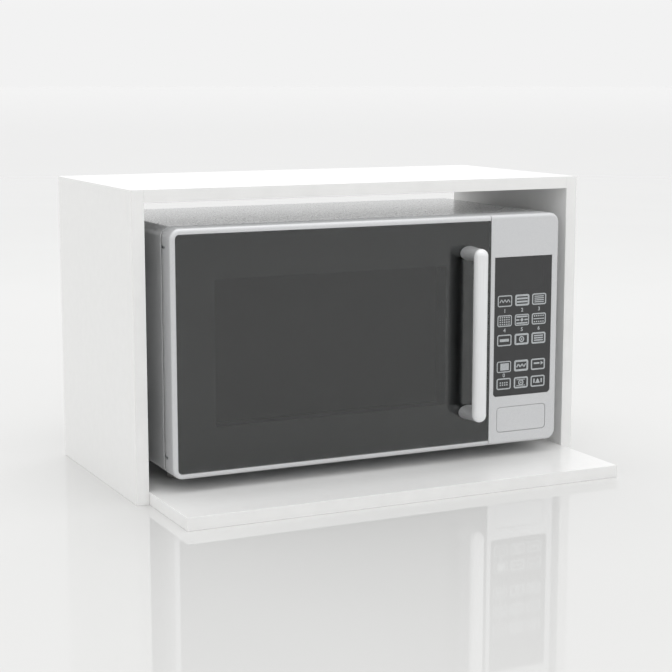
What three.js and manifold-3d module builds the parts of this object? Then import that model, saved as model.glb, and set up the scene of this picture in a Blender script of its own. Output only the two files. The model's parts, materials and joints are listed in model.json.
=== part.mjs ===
// A microwave cabinet: a white board housing, open at the front and the back, with its oven on the shelf.
// Millimetres, +Z up, +Y to the back. The origin is on the floor, under the middle of the whole object.
// The oven has a frame of its own: X from 260 mm inside its left side, Y from the glass to the back, Z from
// its casing's underside.
import * as THREE from "three";
import { mergeVertices } from "three/addons/utils/BufferGeometryUtils.js";
import Module from "manifold-3d";

const wasm = await Module();
wasm.setup();

// ---- Driving dimensions ----

const CABINET = { width: 600, height: 367, depth: 290, board: 15, shelfDepth: 416, band: 1 };
const OVEN = { left: -260, right: 262, height: 292, depth: 272.7, corner: 12, edge: 4.5, sheet: 1 };
const OVEN_HEIGHT = 31.5; // from the floor to the underside of its casing
const OVEN_OFFSET = -3; // from the middle of the cabinet to the oven's own frame
const OVEN_SETBACK = 101.3; // from the shelf's front edge to the glass
const FRONT_DEPTH = 32.4; // thickness of the door and of the control fascia
const SEAM = 0.4; // between the front and the casing behind it
const DOOR_RIGHT = 161.5;
const FASCIA_LEFT = 162.2;
const GLASS = { left: -254.2, right: 161.3, bottom: 6.7, top: 285, thick: 3.4, corner: 5 };
const WINDOW = { left: -207.3, right: 100, bottom: 57, top: 233 };
const HANDLE = { x: 130.2, reach: 29, bottom: 39, top: 254.6, radius: 8.8 };
const HANDLE_LEG = { inset: 7.8, neck: [8.2, 7.4], foot: [12.5, 8.8] }; // half its width and half its height
const KEYPAD = { left: 167.9, right: 252, bottom: 62, top: 239, chamfer: 3, thick: 1.8, sunk: 0.4 };
const DISPLAY = { left: 180, right: 242, bottom: 206, top: 233 };
const PRESS_KEY = { left: 173.5, right: 246, bottom: 15.5, top: 48, corner: 5, gap: 0.4 };
const HINGE = { x: -253.5, y: 25.9, barrel: 6.5, pin: 2.2, arm: 2.4 };
const HINGE_ARM_Z = { lower: 21.6, upper: 268 };
const CAVITY = { left: -221, right: 109, bottom: 39.5, top: 247.5, front: 33.1, back: 257.5 };
const TURN = { x: -56, y: 146 }; // the turntable's axis
const TRAY_RADIUS = 104;
const ROLLER = { radius: 8, width: 6, orbit: 84 };
const FAN = { x: 188, z: 184, radius: 46 };
const HOOK_X = [134, 142];
const HOOK_Z = { lower: 70, upper: 214 };
const FOOT = { height: 15.9, radius: 13, inset: 35 };
const CLEAR = 0.3; // between pieces that touch

// ---- Shapes ----

function block(x, y, z) {
  const size = [x, y, z].map(([low, high]) => high - low);
  const middle = [x, y, z].map(([low, high]) => (low + high) / 2);
  return new THREE.BoxGeometry(...size).translate(...middle);
}

// A cylinder along an axis, from span[0] to span[1]. The centre gives the other two coordinates in order.
function rod(axis, centre, span, radius, sides = 24) {
  const shape = new THREE.CylinderGeometry(radius, radius, span[1] - span[0], sides);
  const along = (span[0] + span[1]) / 2;
  if (axis === "x") return shape.rotateZ(Math.PI / 2).translate(along, centre[0], centre[1]);
  if (axis === "y") return shape.translate(centre[0], along, centre[1]);
  return shape.rotateX(Math.PI / 2).translate(centre[0], centre[1], along);
}

// A rectangle with rounded corners. A radius of 0 keeps a corner square.
function roundedRectangle([left, right], [bottom, top], radius, leftRadius = radius) {
  const corners = [
    [right, bottom, -Math.PI / 2, radius, [-1, 1]],
    [right, top, 0, radius, [-1, -1]],
    [left, top, Math.PI / 2, leftRadius, [1, -1]],
    [left, bottom, Math.PI, leftRadius, [1, 1]],
  ];
  const shape = new THREE.Shape();
  corners.forEach(([x, y, start, r, [inX, inY]], i) => {
    if (r === 0) {
      if (i === 0) shape.moveTo(x, y);
      else shape.lineTo(x, y);
      return;
    }
    shape.absarc(x + inX * r, y + inY * r, r, start, start + Math.PI / 2, false);
  });
  shape.closePath();
  return shape;
}

// An outline drawn in X and Z, made solid from y[0] to y[1].
function slab(shape, y, curveSegments = 3) {
  const settings = { depth: y[1] - y[0], bevelEnabled: false, curveSegments };
  return new THREE.ExtrudeGeometry(shape, settings).rotateX(Math.PI / 2).translate(0, y[1], 0);
}

// An outline drawn in X and Y, made solid from z[0] to z[1].
function pillar(shape, z, curveSegments = 3) {
  const settings = { depth: z[1] - z[0], bevelEnabled: false, curveSegments };
  return new THREE.ExtrudeGeometry(shape, settings).translate(0, 0, z[0]);
}

// A round piece about a vertical axis through x, y.
function turned(profile, x, y, sides = 36) {
  const points = profile.map(([r, z]) => new THREE.Vector2(r, z));
  return new THREE.LatheGeometry(points, sides).rotateX(Math.PI / 2).translate(x, y, 0);
}

// ---- Cutting and joining ----

function solidOf(geometry) {
  const bare = geometry.clone();
  bare.deleteAttribute("normal");
  bare.deleteAttribute("uv");
  const merged = mergeVertices(bare, 1e-4);
  const vertProperties = merged.attributes.position.array;
  const triVerts = new Uint32Array(merged.index.array);
  return new wasm.Manifold(new wasm.Mesh({ numProp: 3, vertProperties, triVerts }));
}

function geometryOf(solid) {
  const mesh = solid.getMesh();
  const geometry = new THREE.BufferGeometry();
  geometry.setAttribute("position", new THREE.BufferAttribute(mesh.vertProperties, 3));
  geometry.setIndex(new THREE.BufferAttribute(mesh.triVerts, 1));
  return geometry;
}

const join = (...pieces) => geometryOf(pieces.map(solidOf).reduce((whole, piece) => whole.add(piece)));
const keep = (piece, region) => geometryOf(solidOf(piece).intersect(solidOf(region)));

function cut(piece, ...tools) {
  return geometryOf(tools.map(solidOf).reduce((rest, tool) => rest.subtract(tool), solidOf(piece)));
}

// ---- Materials ----

function finish(color, roughness, metalness) {
  return new THREE.MeshStandardMaterial({ color, roughness, metalness });
}

const whiteBoard = finish(0xf4f4f4, 0.4, 0);
const whiteBand = finish(0xefefef, 0.45, 0);
const silverPlastic = finish(0xc9cacb, 0.3, 0.4);
const silverPaint = finish(0xc4c5c7, 0.35, 0.5);
const blackGlass = finish(0x202122, 0.05, 0);
const blackFilm = finish(0x303132, 0.3, 0);
const blackPlastic = finish(0x242526, 0.5, 0);
const handleMetal = finish(0xd8d9da, 0.25, 0.9);
const zincSteel = finish(0x9fa2a4, 0.4, 0.9);
const cavityPaint = finish(0xb9bab8, 0.45, 0.2);
const clearGlass = finish(0xdfe8e6, 0.05, 0);
const creamPlastic = finish(0xe2dfd2, 0.5, 0);
const boardGreen = finish(0x2e5a3c, 0.6, 0);
const mica = finish(0xc9b48c, 0.6, 0);
const copperBrown = finish(0x7a4a2c, 0.5, 0.3);
const rubber = finish(0x2a2a2a, 0.8, 0);

function piece(name, geometry, material) {
  const mesh = new THREE.Mesh(geometry, material);
  mesh.name = name;
  return mesh;
}

// ---- The cabinet ----

const backY = CABINET.shelfDepth / 2;
const sideFrontY = backY - CABINET.depth;
const innerX = CABINET.width / 2 - CABINET.board;
const topUnderside = CABINET.height - CABINET.board;
const GLUE = 0.1; // between glued boards
const RAIL = { low: [CABINET.board + GLUE, 80], high: [240, 304] };
const CAM = { x: 250, y: [sideFrontY + 50, backY - 50], radius: 7.3, depth: 12 };

function sidePanel(side) {
  const x = side < 0 ? [-CABINET.width / 2, -innerX] : [innerX, CABINET.width / 2];
  return block(x, [sideFrontY + CABINET.band + GLUE, backY], [0, CABINET.height]);
}

function sideBand(side) {
  const x = side < 0 ? [-CABINET.width / 2, -innerX] : [innerX, CABINET.width / 2];
  return block(x, [sideFrontY, sideFrontY + CABINET.band], [0, CABINET.height]);
}

const betweenSides = [-innerX + GLUE, innerX - GLUE];
const camPlaces = [-CAM.x, CAM.x].flatMap((x) => CAM.y.map((y) => [x, y]));

function topPanel() {
  const board = block(betweenSides, [sideFrontY + CABINET.band + GLUE, backY], [topUnderside, CABINET.height]);
  const pockets = camPlaces.map((place) => {
    return rod("z", place, [topUnderside - 1, topUnderside + CAM.depth + CLEAR], CAM.radius + CLEAR, 20);
  });
  return cut(board, ...pockets);
}

function baseShelf() {
  return block(betweenSides, [-backY + CABINET.band + GLUE, backY], [0, CABINET.board]);
}

function backRail(z) {
  return block(betweenSides, [backY - CABINET.board, backY], z);
}

// A cam that draws the top panel to a side panel, with a cross slot for the driver.
function camLock([x, y]) {
  const z = [topUnderside + CLEAR, topUnderside + CAM.depth];
  const slotZ = [z[0] - 1, z[0] + 2];
  return cut(
    rod("z", [x, y], z, CAM.radius, 20),
    block([x - 5, x + 5], [y - 1, y + 1], slotZ),
    block([x - 1, x + 1], [y - 5, y + 5], slotZ),
  );
}

function makeCabinet() {
  const cabinet = new THREE.Group();
  const bandY = [sideFrontY, sideFrontY + CABINET.band];
  const shelfBandY = [-backY, -backY + CABINET.band];
  cabinet.add(
    piece("side_panel_left", sidePanel(-1), whiteBoard),
    piece("side_panel_right", sidePanel(1), whiteBoard),
    piece("top_panel", topPanel(), whiteBoard),
    piece("base_shelf", baseShelf(), whiteBoard),
    piece("back_rail_lower", backRail(RAIL.low), whiteBoard),
    piece("back_rail_upper", backRail(RAIL.high), whiteBoard),
    piece("edge_band_left", sideBand(-1), whiteBand),
    piece("edge_band_right", sideBand(1), whiteBand),
    piece("edge_band_top", block(betweenSides, bandY, [topUnderside, CABINET.height]), whiteBand),
    piece("edge_band_shelf", block(betweenSides, shelfBandY, [0, CABINET.board]), whiteBand),
  );
  camPlaces.forEach((place, i) => cabinet.add(piece(`cam_lock_${i + 1}`, camLock(place), zincSteel)));
  return cabinet;
}

// ---- The oven's front: one rounded form, split into the door's frame and the control fascia ----

const casingFront = FRONT_DEPTH + SEAM;

// The oven's outline in X and Z, drawn in by the inset.
function ovenOutline(inset) {
  const x = [OVEN.left + inset, OVEN.right - inset];
  return roundedRectangle(x, [inset, OVEN.height - inset], OVEN.corner - inset);
}

function frontForm() {
  const settings = {
    depth: FRONT_DEPTH,
    bevelThickness: OVEN.edge,
    bevelSize: OVEN.edge,
    bevelOffset: -OVEN.edge,
    bevelSegments: 3,
    curveSegments: 3,
  };
  const form = new THREE.ExtrudeGeometry(ovenOutline(0), settings);
  return form.rotateX(Math.PI / 2).translate(0, FRONT_DEPTH + OVEN.edge, 0);
}

function frontBetween(x) {
  return keep(frontForm(), block(x, [-1, FRONT_DEPTH], [-1, OVEN.height + 1]));
}

// ---- The door ----

const WEB = { front: GLASS.thick + CLEAR, back: 8.7 }; // the frame's wall behind the glass
const PAN = { x: [-244, 118], y: [14, 29], z: [14, 278], sheet: 1 };
const COVER = { x: [-247, 154.5], y: [29.4, 32], z: [9.5, 282.5] };
const LATCH = { travel: 4, barY: [14, 20], barZ: [62, 226], tipDrop: 5, armHeight: 8, reach: 49 };
const SPRING_STOP = [252, 256];
const handleLegZ = [HANDLE.bottom + HANDLE_LEG.inset, HANDLE.top - HANDLE_LEG.inset];
const SCREW = { shank: 2, head: 4.2 };

// The slot that a hook passes through, with room for its travel and for the door's swing.
function hookSlot(hookZ, y) {
  const x = [HOOK_X[0] - 2.5, HOOK_X[1] + 4];
  return block(x, y, [hookZ - LATCH.tipDrop - 2, hookZ + LATCH.armHeight + LATCH.travel + 2]);
}

const hookSlots = (y) => [hookSlot(HOOK_Z.lower, y), hookSlot(HOOK_Z.upper, y)];

// The frame's rear left edge is round about the hinge's axis, so that it turns clear of the casing.
function hingeEdgeWaste() {
  const z = [-1, OVEN.height + 1];
  const corner = block([OVEN.left - 1, HINGE.x], [HINGE.y, FRONT_DEPTH + 1], z);
  return cut(corner, rod("z", [HINGE.x, HINGE.y], [-2, OVEN.height + 2], HINGE.barrel, 32));
}

function hingeArmSlot(armZ) {
  const z = [armZ - 0.5, armZ + HINGE.arm + 0.5];
  return block([OVEN.left - 1, PAN.x[0] - 4.5], [HINGE.y - 6.4, FRONT_DEPTH + 1], z);
}

function hingePinSpan(armZ, extra) {
  const middle = armZ + HINGE.arm / 2;
  return [middle - 11 - extra, middle + 11 + extra];
}

function doorFrame() {
  const glassSeat = roundedRectangle(
    [GLASS.left - CLEAR, DOOR_RIGHT + 20],
    [GLASS.bottom - CLEAR, GLASS.top + CLEAR],
    0,
    GLASS.corner + CLEAR,
  );
  const armZ = [HINGE_ARM_Z.lower, HINGE_ARM_Z.upper];
  const shell = cut(
    frontBetween([OVEN.left - 1, DOOR_RIGHT]),
    slab(glassSeat, [-1, WEB.front]),
    block([WINDOW.left, WINDOW.right], [0, WEB.back + 1], [WINDOW.bottom, WINDOW.top]),
    block([PAN.x[0] - 4.5, DOOR_RIGHT - 5.5], [WEB.back, FRONT_DEPTH + 1], [8, 284]),
    hingeEdgeWaste(),
    ...armZ.map(hingeArmSlot),
    ...armZ.map((z) => rod("z", [HINGE.x, HINGE.y], hingePinSpan(z, 2), HINGE.pin + 0.4)),
    ...handleLegZ.map((z) => rod("y", [HANDLE.x, z], [0, WEB.back + 1], SCREW.shank + CLEAR, 16)),
  );
  const springStop = block([HOOK_X[0] - 2, HOOK_X[1] + 2], [WEB.back - 1, LATCH.barY[1]], SPRING_STOP);
  return join(shell, springStop);
}

function doorGlass() {
  const outline = roundedRectangle([GLASS.left, GLASS.right], [GLASS.bottom, GLASS.top], 0, GLASS.corner);
  const holes = handleLegZ.map((z) => rod("y", [HANDLE.x, z], [-1, 5], SCREW.shank + CLEAR, 16));
  return cut(slab(outline, [0, GLASS.thick]), ...holes);
}

// A pressed steel pan, open towards the glass, that carries the window's screen.
function doorPan() {
  const inside = (span) => [span[0] + PAN.sheet, span[1] - PAN.sheet];
  return cut(
    block(PAN.x, PAN.y, PAN.z),
    block(inside(PAN.x), [PAN.y[0] - 1, PAN.y[1] - PAN.sheet], inside(PAN.z)),
    block([WINDOW.left, WINDOW.right], [PAN.y[1] - 2, PAN.y[1] + 1], [WINDOW.bottom, WINDOW.top]),
  );
}

function windowScreen() {
  const y = [PAN.y[1] - PAN.sheet - CLEAR - 0.8, PAN.y[1] - PAN.sheet - CLEAR];
  return block([WINDOW.left - 6, WINDOW.right + 6], y, [WINDOW.bottom - 6, WINDOW.top + 6]);
}

function innerCover() {
  const opening = block([WINDOW.left, WINDOW.right], [20, 40], [WINDOW.bottom, WINDOW.top]);
  return cut(block(COVER.x, COVER.y, COVER.z), opening, ...hookSlots([20, 40]));
}

// Both hooks stand on one bar. Their noses pass just over the ledges in the oven.
function latchHooks() {
  const hook = (z) => [
    block(HOOK_X, [LATCH.barY[0] + 2, LATCH.reach], [z, z + LATCH.armHeight]),
    block(HOOK_X, [LATCH.reach - 6, LATCH.reach], [z - LATCH.tipDrop, z + 1]),
  ];
  return join(block(HOOK_X, LATCH.barY, LATCH.barZ), ...hook(HOOK_Z.lower), ...hook(HOOK_Z.upper));
}

function latchSpring() {
  const centre = [(HOOK_X[0] + HOOK_X[1]) / 2, (LATCH.barY[0] + LATCH.barY[1]) / 2];
  return rod("z", centre, [LATCH.barZ[1] + CLEAR, SPRING_STOP[0] - CLEAR], 2.8, 16);
}

// An oval leg that grows from its neck, inside the bar, to its foot on the glass.
function handleLeg(z) {
  const leg = rod("y", [0, 0], [-HANDLE.reach, -CLEAR], 1);
  const points = leg.attributes.position;
  for (let i = 0; i < points.count; i += 1) {
    const [halfWidth, halfHeight] = points.getY(i) > -HANDLE.reach / 2 ? HANDLE_LEG.foot : HANDLE_LEG.neck;
    points.setXYZ(i, points.getX(i) * halfWidth, points.getY(i), points.getZ(i) * halfHeight);
  }
  return leg.translate(HANDLE.x, 0, z);
}

// A straight round bar with domed ends, on two short legs that run back to the glass.
function handle() {
  const { x, reach, bottom, top, radius } = HANDLE;
  const steps = [0, 1, 2, 3, 4].map((i) => (i * Math.PI) / 8);
  const lowDome = steps.map((a) => [radius * Math.sin(a), bottom + radius * (1 - Math.cos(a))]);
  const highDome = steps.map((a) => [radius * Math.cos(a), top - radius * (1 - Math.sin(a))]);
  const bar = turned([...lowDome, ...highDome], x, -reach, 24);
  const bores = handleLegZ.map((z) => rod("y", [x, z], [-14, 1], SCREW.shank + CLEAR, 16));
  return cut(join(bar, ...handleLegZ.map(handleLeg)), ...bores);
}

function handleScrew(z) {
  const head = rod("y", [HANDLE.x, z], [WEB.back + CLEAR, WEB.back + 3], SCREW.head, 16);
  return join(head, rod("y", [HANDLE.x, z], [-12, WEB.back + 1], SCREW.shank, 16));
}

function makeDoor() {
  const door = new THREE.Group();
  door.add(
    piece("door_frame", doorFrame(), silverPlastic),
    piece("door_glass", doorGlass(), blackGlass),
    piece("door_pan", doorPan(), zincSteel),
    piece("window_screen", windowScreen(), blackPlastic),
    piece("door_inner_cover", innerCover(), blackPlastic),
    piece("door_handle", handle(), handleMetal),
    piece("handle_screw_lower", handleScrew(handleLegZ[0]), zincSteel),
    piece("handle_screw_upper", handleScrew(handleLegZ[1]), zincSteel),
    piece("latch_hooks", latchHooks(), creamPlastic),
    piece("latch_spring", latchSpring(), zincSteel),
  );
  return door;
}

// ---- The door's hinge ----

function hingeBracket(armZ, plateZ) {
  const arm = block([HINGE.x - 4.5, HINGE.x + 4.5], [HINGE.y, 36.4], [armZ, armZ + HINGE.arm]);
  const nose = rod("z", [HINGE.x, HINGE.y], [armZ, armZ + HINGE.arm], 4.5);
  const plate = block([HINGE.x - 4.5, -240], [34.8, 36.4], plateZ);
  return cut(join(arm, nose, plate), rod("z", [HINGE.x, HINGE.y], [armZ - 1, armZ + 5], HINGE.pin + 0.2));
}

function hingePin(armZ) {
  return rod("z", [HINGE.x, HINGE.y], hingePinSpan(armZ, 0), HINGE.pin);
}

function makeHinge() {
  const { lower, upper } = HINGE_ARM_Z;
  const hinge = new THREE.Group();
  hinge.add(
    piece("hinge_bracket_lower", hingeBracket(lower, [lower, lower + 30]), zincSteel),
    piece("hinge_bracket_upper", hingeBracket(upper, [upper - 30, upper + HINGE.arm]), zincSteel),
    piece("hinge_pin_lower", hingePin(lower), zincSteel),
    piece("hinge_pin_upper", hingePin(upper), zincSteel),
  );
  return hinge;
}

// ---- The control side ----

const FASCIA_WALL = 4.5;
const BOARD = { x: [168, 253], y: [12.7, 14.3], z: [8, 262] };

function keyOutline(inset) {
  const x = [PRESS_KEY.left + inset, PRESS_KEY.right - inset];
  return roundedRectangle(x, [PRESS_KEY.bottom + inset, PRESS_KEY.top - inset], PRESS_KEY.corner - inset);
}

function keypadOutline(inset) {
  const { left, right, bottom, top, chamfer } = KEYPAD;
  return new THREE.Shape([
    new THREE.Vector2(left + inset, top - inset),
    new THREE.Vector2(left + inset, bottom + chamfer),
    new THREE.Vector2(left + chamfer, bottom + inset),
    new THREE.Vector2(right - chamfer, bottom + inset),
    new THREE.Vector2(right - inset, bottom + chamfer),
    new THREE.Vector2(right - inset, top - inset),
  ]);
}

function controlFascia() {
  const hollowOutline = roundedRectangle([FASCIA_LEFT + 3, OVEN.right - 3], [3, OVEN.height - 3], 9, 0);
  return cut(
    frontBetween([FASCIA_LEFT, OVEN.right + 1]),
    slab(hollowOutline, [FASCIA_WALL, FRONT_DEPTH + 1]),
    slab(keypadOutline(0), [-1, KEYPAD.sunk + KEYPAD.thick + CLEAR]),
    block([DISPLAY.left, DISPLAY.right], [0, FASCIA_WALL + 1], [DISPLAY.bottom, DISPLAY.top]),
    slab(keyOutline(0), [-1, FASCIA_WALL + 1]),
  );
}

function displayModule() {
  const inset = 0.6;
  return block(
    [DISPLAY.left + inset, DISPLAY.right - inset],
    [KEYPAD.sunk + KEYPAD.thick + CLEAR, BOARD.y[0] - CLEAR],
    [DISPLAY.bottom + inset, DISPLAY.top - inset],
  );
}

function controlBoard() {
  const switchX = (PRESS_KEY.left + PRESS_KEY.right) / 2;
  const switchZ = (PRESS_KEY.bottom + PRESS_KEY.top) / 2;
  const pushSwitch = block([switchX - 3, switchX + 3], [9.6, 13], [switchZ - 3, switchZ + 3]);
  const relay = block([176, 196], [14, 30], [70, 90]);
  const smallTransformer = block([205, 243], [14, 29], [120, 150]);
  return join(block(BOARD.x, BOARD.y, BOARD.z), pushSwitch, relay, smallTransformer);
}

function makeControls() {
  const controls = new THREE.Group();
  const keypadY = [KEYPAD.sunk, KEYPAD.sunk + KEYPAD.thick];
  controls.add(
    piece("control_fascia", controlFascia(), silverPlastic),
    piece("keypad_panel", slab(keypadOutline(CLEAR), keypadY), blackFilm),
    piece("display_module", displayModule(), blackPlastic),
    piece("press_key", slab(keyOutline(PRESS_KEY.gap), [0, 7.6]), silverPlastic),
    piece("control_board", controlBoard(), boardGreen),
  );
  return controls;
}

// ---- The casing ----

const rearPanelY = [OVEN.depth - 1.2, OVEN.depth];
const casingBack = rearPanelY[0] - CLEAR;
const baseX = [OVEN.left + OVEN.corner, OVEN.right - OVEN.corner]; // between the casing's bottom flanges
const CORD_INLET = { x: 226, z: 30, radius: 6 };

// A column of level vent slots through a wall, one above the other.
function ventColumn(x, y, firstZ, count) {
  return Array.from({ length: count }, (_, i) => block(x, y, [firstZ + 9 * i, firstZ + 9 * i + 3.5]));
}

function outerCasing() {
  const wallX = [OVEN.right - 5, OVEN.right + 5];
  return cut(
    slab(ovenOutline(0), [casingFront, casingBack]),
    slab(ovenOutline(OVEN.sheet), [casingFront - 1, casingBack + 1]),
    block(baseX, [0, 300], [-1, 2]),
    ...ventColumn(wallX, [60, 100], 50, 6),
    ...ventColumn(wallX, [190, 240], 140, 7),
    ...ventColumn([OVEN.left - 5, OVEN.left + 5], [190, 240], 60, 7),
  );
}

function basePlate() {
  const vents = [0, 1, 2, 3, 4].map((i) => block([130 + 22 * i, 134 + 22 * i], [150, 185], [-1, 5]));
  const plateX = [baseX[0] + 0.4, baseX[1] - 0.4];
  return cut(block(plateX, [casingFront + CLEAR, casingBack], [0, OVEN.sheet]), ...vents);
}

// The vents behind the fan are level slots that fill a circle.
function rearPanel() {
  const vents = [-4, -3, -2, -1, 0, 1, 2, 3, 4].map((i) => {
    const rise = 9 * i;
    const halfSlot = Math.sqrt(42 ** 2 - rise ** 2);
    return block([FAN.x - halfSlot, FAN.x + halfSlot], [260, 280], [FAN.z + rise - 2, FAN.z + rise + 2]);
  });
  const inlet = rod("y", [CORD_INLET.x, CORD_INLET.z], [260, 280], CORD_INLET.radius);
  return cut(slab(ovenOutline(0), rearPanelY), inlet, ...vents);
}

// A moulded bush for the mains lead: a collar outside the rear panel and a neck through it.
function cordInlet() {
  const { x, z, radius } = CORD_INLET;
  return cut(
    join(
      rod("y", [x, z], [OVEN.depth - 8, OVEN.depth + 1], radius - CLEAR),
      rod("y", [x, z], [OVEN.depth + CLEAR, OVEN.depth + 6], radius + 4),
    ),
    rod("y", [x, z], [OVEN.depth - 10, OVEN.depth + 10], 3.4),
  );
}

function foot(x, y) {
  const { height, radius } = FOOT;
  const outline = [
    [0, -height - CLEAR],
    [radius - 2, -height - CLEAR],
    [radius, -height + 2],
    [radius - 2, -CLEAR],
    [0, -CLEAR],
  ];
  return turned(outline, x, y, 20);
}

// ---- The cooking cavity ----

const WAVEGUIDE = { x: 128, y: [92, 188], z: [110, 232] };
const MAGNETRON = { y: 140, z: 205 };
const LAMP = { y: 214, z: 226 };

function cavityLiner() {
  const { left, right, bottom, top, front, back } = CAVITY;
  const sheet = OVEN.sheet;
  const inner = block([left, right], [front - 1, back], [bottom, top]);
  const box = block([left - sheet, right + sheet], [front, back + sheet], [bottom - sheet, top + sheet]);
  const flangeRegion = block([OVEN.left, DOOR_RIGHT - 1], [front - 1, front + 5], [0, OVEN.height]);
  const flange = keep(slab(ovenOutline(1.6), [front, front + 1.2]), flangeRegion);
  const duct = block([right, WAVEGUIDE.x], WAVEGUIDE.y, WAVEGUIDE.z);
  const wall = [right - 1, right + sheet + 1];
  return cut(
    join(box, flange, duct),
    inner,
    block([right + sheet, WAVEGUIDE.x - 1.2], [93.2, 186.8], [111.2, 230.8]),
    block(wall, [110, 170], [120, 170]),
    rod("x", [MAGNETRON.y, MAGNETRON.z], [WAVEGUIDE.x - 3, WAVEGUIDE.x + 1], 12),
    rod("x", [LAMP.y, LAMP.z], wall, 9, 16),
    rod("z", [TURN.x, TURN.y], [bottom - 3, bottom + 1], 6),
    ...hookSlots([front - 2, front + 4]),
    ...Object.values(HINGE_ARM_Z).map((z) => {
      return block([OVEN.left - 1, HINGE.x + 5], [front - 2, front + 4], [z - 0.5, z + HINGE.arm + 0.5]);
    }),
  );
}

function makeCasing() {
  const casing = new THREE.Group();
  casing.add(
    piece("outer_casing", outerCasing(), silverPaint),
    piece("base_plate", basePlate(), zincSteel),
    piece("rear_panel", rearPanel(), zincSteel),
    piece("cord_inlet", cordInlet(), blackPlastic),
    piece("cavity_liner", cavityLiner(), cavityPaint),
    piece("waveguide_cover", block([CAVITY.right - 1.4, CAVITY.right - CLEAR], [104, 176], [114, 176]), mica),
  );
  const places = { left: OVEN.left + FOOT.inset, right: OVEN.right - FOOT.inset, front: 84, rear: 245 };
  for (const end of ["front", "rear"]) {
    for (const side of ["left", "right"]) {
      casing.add(piece(`foot_${end}_${side}`, foot(places[side], places[end]), rubber));
    }
  }
  return casing;
}

// ---- The turntable ----

const cavityFloor = CAVITY.bottom;
const rollerZ = cavityFloor + 0.2 + ROLLER.radius;
const trayZ = rollerZ + ROLLER.radius + CLEAR;

function turntableMotor() {
  const can = rod("z", [TURN.x, TURN.y], [20, cavityFloor - OVEN.sheet - CLEAR], 25, 28);
  const ears = block([TURN.x - 33, TURN.x + 33], [TURN.y - 6, TURN.y + 6], [36, cavityFloor - OVEN.sheet - CLEAR]);
  return cut(join(can, ears), rod("z", [TURN.x, TURN.y], [30, 40], 4, 16));
}

// The drive coupler: a shaft through the cavity's floor and three lobes that the tray sits on.
function driveCoupler() {
  const lobes = [0, 1, 2].map((i) => {
    const angle = Math.PI / 2 + (i * 2 * Math.PI) / 3;
    const centre = [TURN.x + 8 * Math.cos(angle), TURN.y + 8 * Math.sin(angle)];
    return rod("z", centre, [cavityFloor + 2, trayZ - CLEAR], 6, 16);
  });
  return join(rod("z", [TURN.x, TURN.y], [32, cavityFloor + 6], 3.6, 16), ...lobes);
}

function glassTray() {
  const r = TRAY_RADIUS;
  const outline = [
    [0, trayZ],
    [r - 8, trayZ],
    [r, trayZ + 7],
    [r, trayZ + 10],
    [r - 3, trayZ + 10],
    [r - 9, trayZ + 5],
    [0, trayZ + 5],
  ];
  return turned(outline, TURN.x, TURN.y, 48);
}

const rollerAngles = [0, 1, 2].map((i) => Math.PI / 2 + (i * 2 * Math.PI) / 3);

// A cylinder along a spoke of the turntable, from one radius to another.
function spoke(angle, span, radius, sides) {
  const shape = rod("x", [0, rollerZ], span, radius, sides);
  return shape.rotateZ(angle).translate(TURN.x, TURN.y, 0);
}

function rollerRing() {
  const inner = ROLLER.orbit - 14;
  const outer = ROLLER.orbit - 8;
  const outline = [
    [inner, rollerZ - 3],
    [outer, rollerZ - 3],
    [outer, rollerZ + 3],
    [inner, rollerZ + 3],
    [inner, rollerZ - 3],
  ];
  const axles = rollerAngles.map((angle) => spoke(angle, [outer - 3, ROLLER.orbit + 6], 2, 12));
  const caps = rollerAngles.map((angle) => spoke(angle, [ROLLER.orbit + 4, ROLLER.orbit + 6], 3.4, 12));
  return join(turned(outline, TURN.x, TURN.y, 36), ...axles, ...caps);
}

function roller(angle) {
  const half = ROLLER.width / 2;
  const wheel = spoke(angle, [ROLLER.orbit - half, ROLLER.orbit + half], ROLLER.radius, 24);
  return cut(wheel, spoke(angle, [ROLLER.orbit - half - 1, ROLLER.orbit + half + 1], 2.4, 12));
}

function makeTurntable() {
  const turntable = new THREE.Group();
  turntable.add(
    piece("turntable_motor", turntableMotor(), zincSteel),
    piece("drive_coupler", driveCoupler(), creamPlastic),
    piece("glass_tray", glassTray(), clearGlass),
    piece("roller_ring", rollerRing(), creamPlastic),
  );
  rollerAngles.forEach((angle, i) => turntable.add(piece(`roller_${i + 1}`, roller(angle), creamPlastic)));
  return turntable;
}

// ---- The works beside the cavity ----

function latchBracket() {
  const plate = cut(block([112, 156], [34.8, 36.3], [52, 242]), ...hookSlots([30, 40]));
  const wall = block([150, 152], [36, 62], [60, 234]);
  const ledges = [HOOK_Z.lower, HOOK_Z.upper].map((z) => {
    return block([130, 151], [36, 44], [z - LATCH.tipDrop - 5, z - LATCH.tipDrop - 2]);
  });
  return join(plate, wall, ...ledges);
}

// A small switch whose lever the hook's tip presses.
function doorSwitch(hookZ) {
  const lever = block([136, 140], [50, 55], [hookZ - 4, hookZ - 2.5]);
  return join(block([128, 149.7], [54, 64], [hookZ - 6, hookZ + 10]), lever);
}

function highVoltageTransformer() {
  const core = block([140, 232], [76, 134], [1.3, 72]);
  return join(core, block([152, 220], [66, 144], [14, 58]));
}

function capacitor() {
  const can = pillar(roundedRectangle([140, 194], [190, 224], 15), [1.3, 86]);
  return join(can, block([152, 155], [203, 211], [85, 94]), block([179, 182], [203, 211], [85, 94]));
}

// A finned anode between two plates, with the antenna on one side and the filter box on the other.
function magnetron() {
  const { y, z } = MAGNETRON;
  const fins = Array.from({ length: 7 }, (_, i) => {
    return block([139 + 7 * i, 140.4 + 7 * i], [y - 34, y + 34], [z - 37, z + 37]);
  });
  return join(
    rod("x", [y, z], [114, 190], 9, 16),
    rod("x", [y, z], [134, 190], 22, 16),
    block([133, 191], [y - 36, y - 34], [z - 37, z + 37]),
    block([133, 191], [y + 34, y + 36], [z - 37, z + 37]),
    block([188, 214], [y - 25, y + 25], [z - 30, z + 30]),
    ...fins,
  );
}

const FAN_ARM_Y = [210, 212];
const SHROUD_Y = [234, 236];

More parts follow.
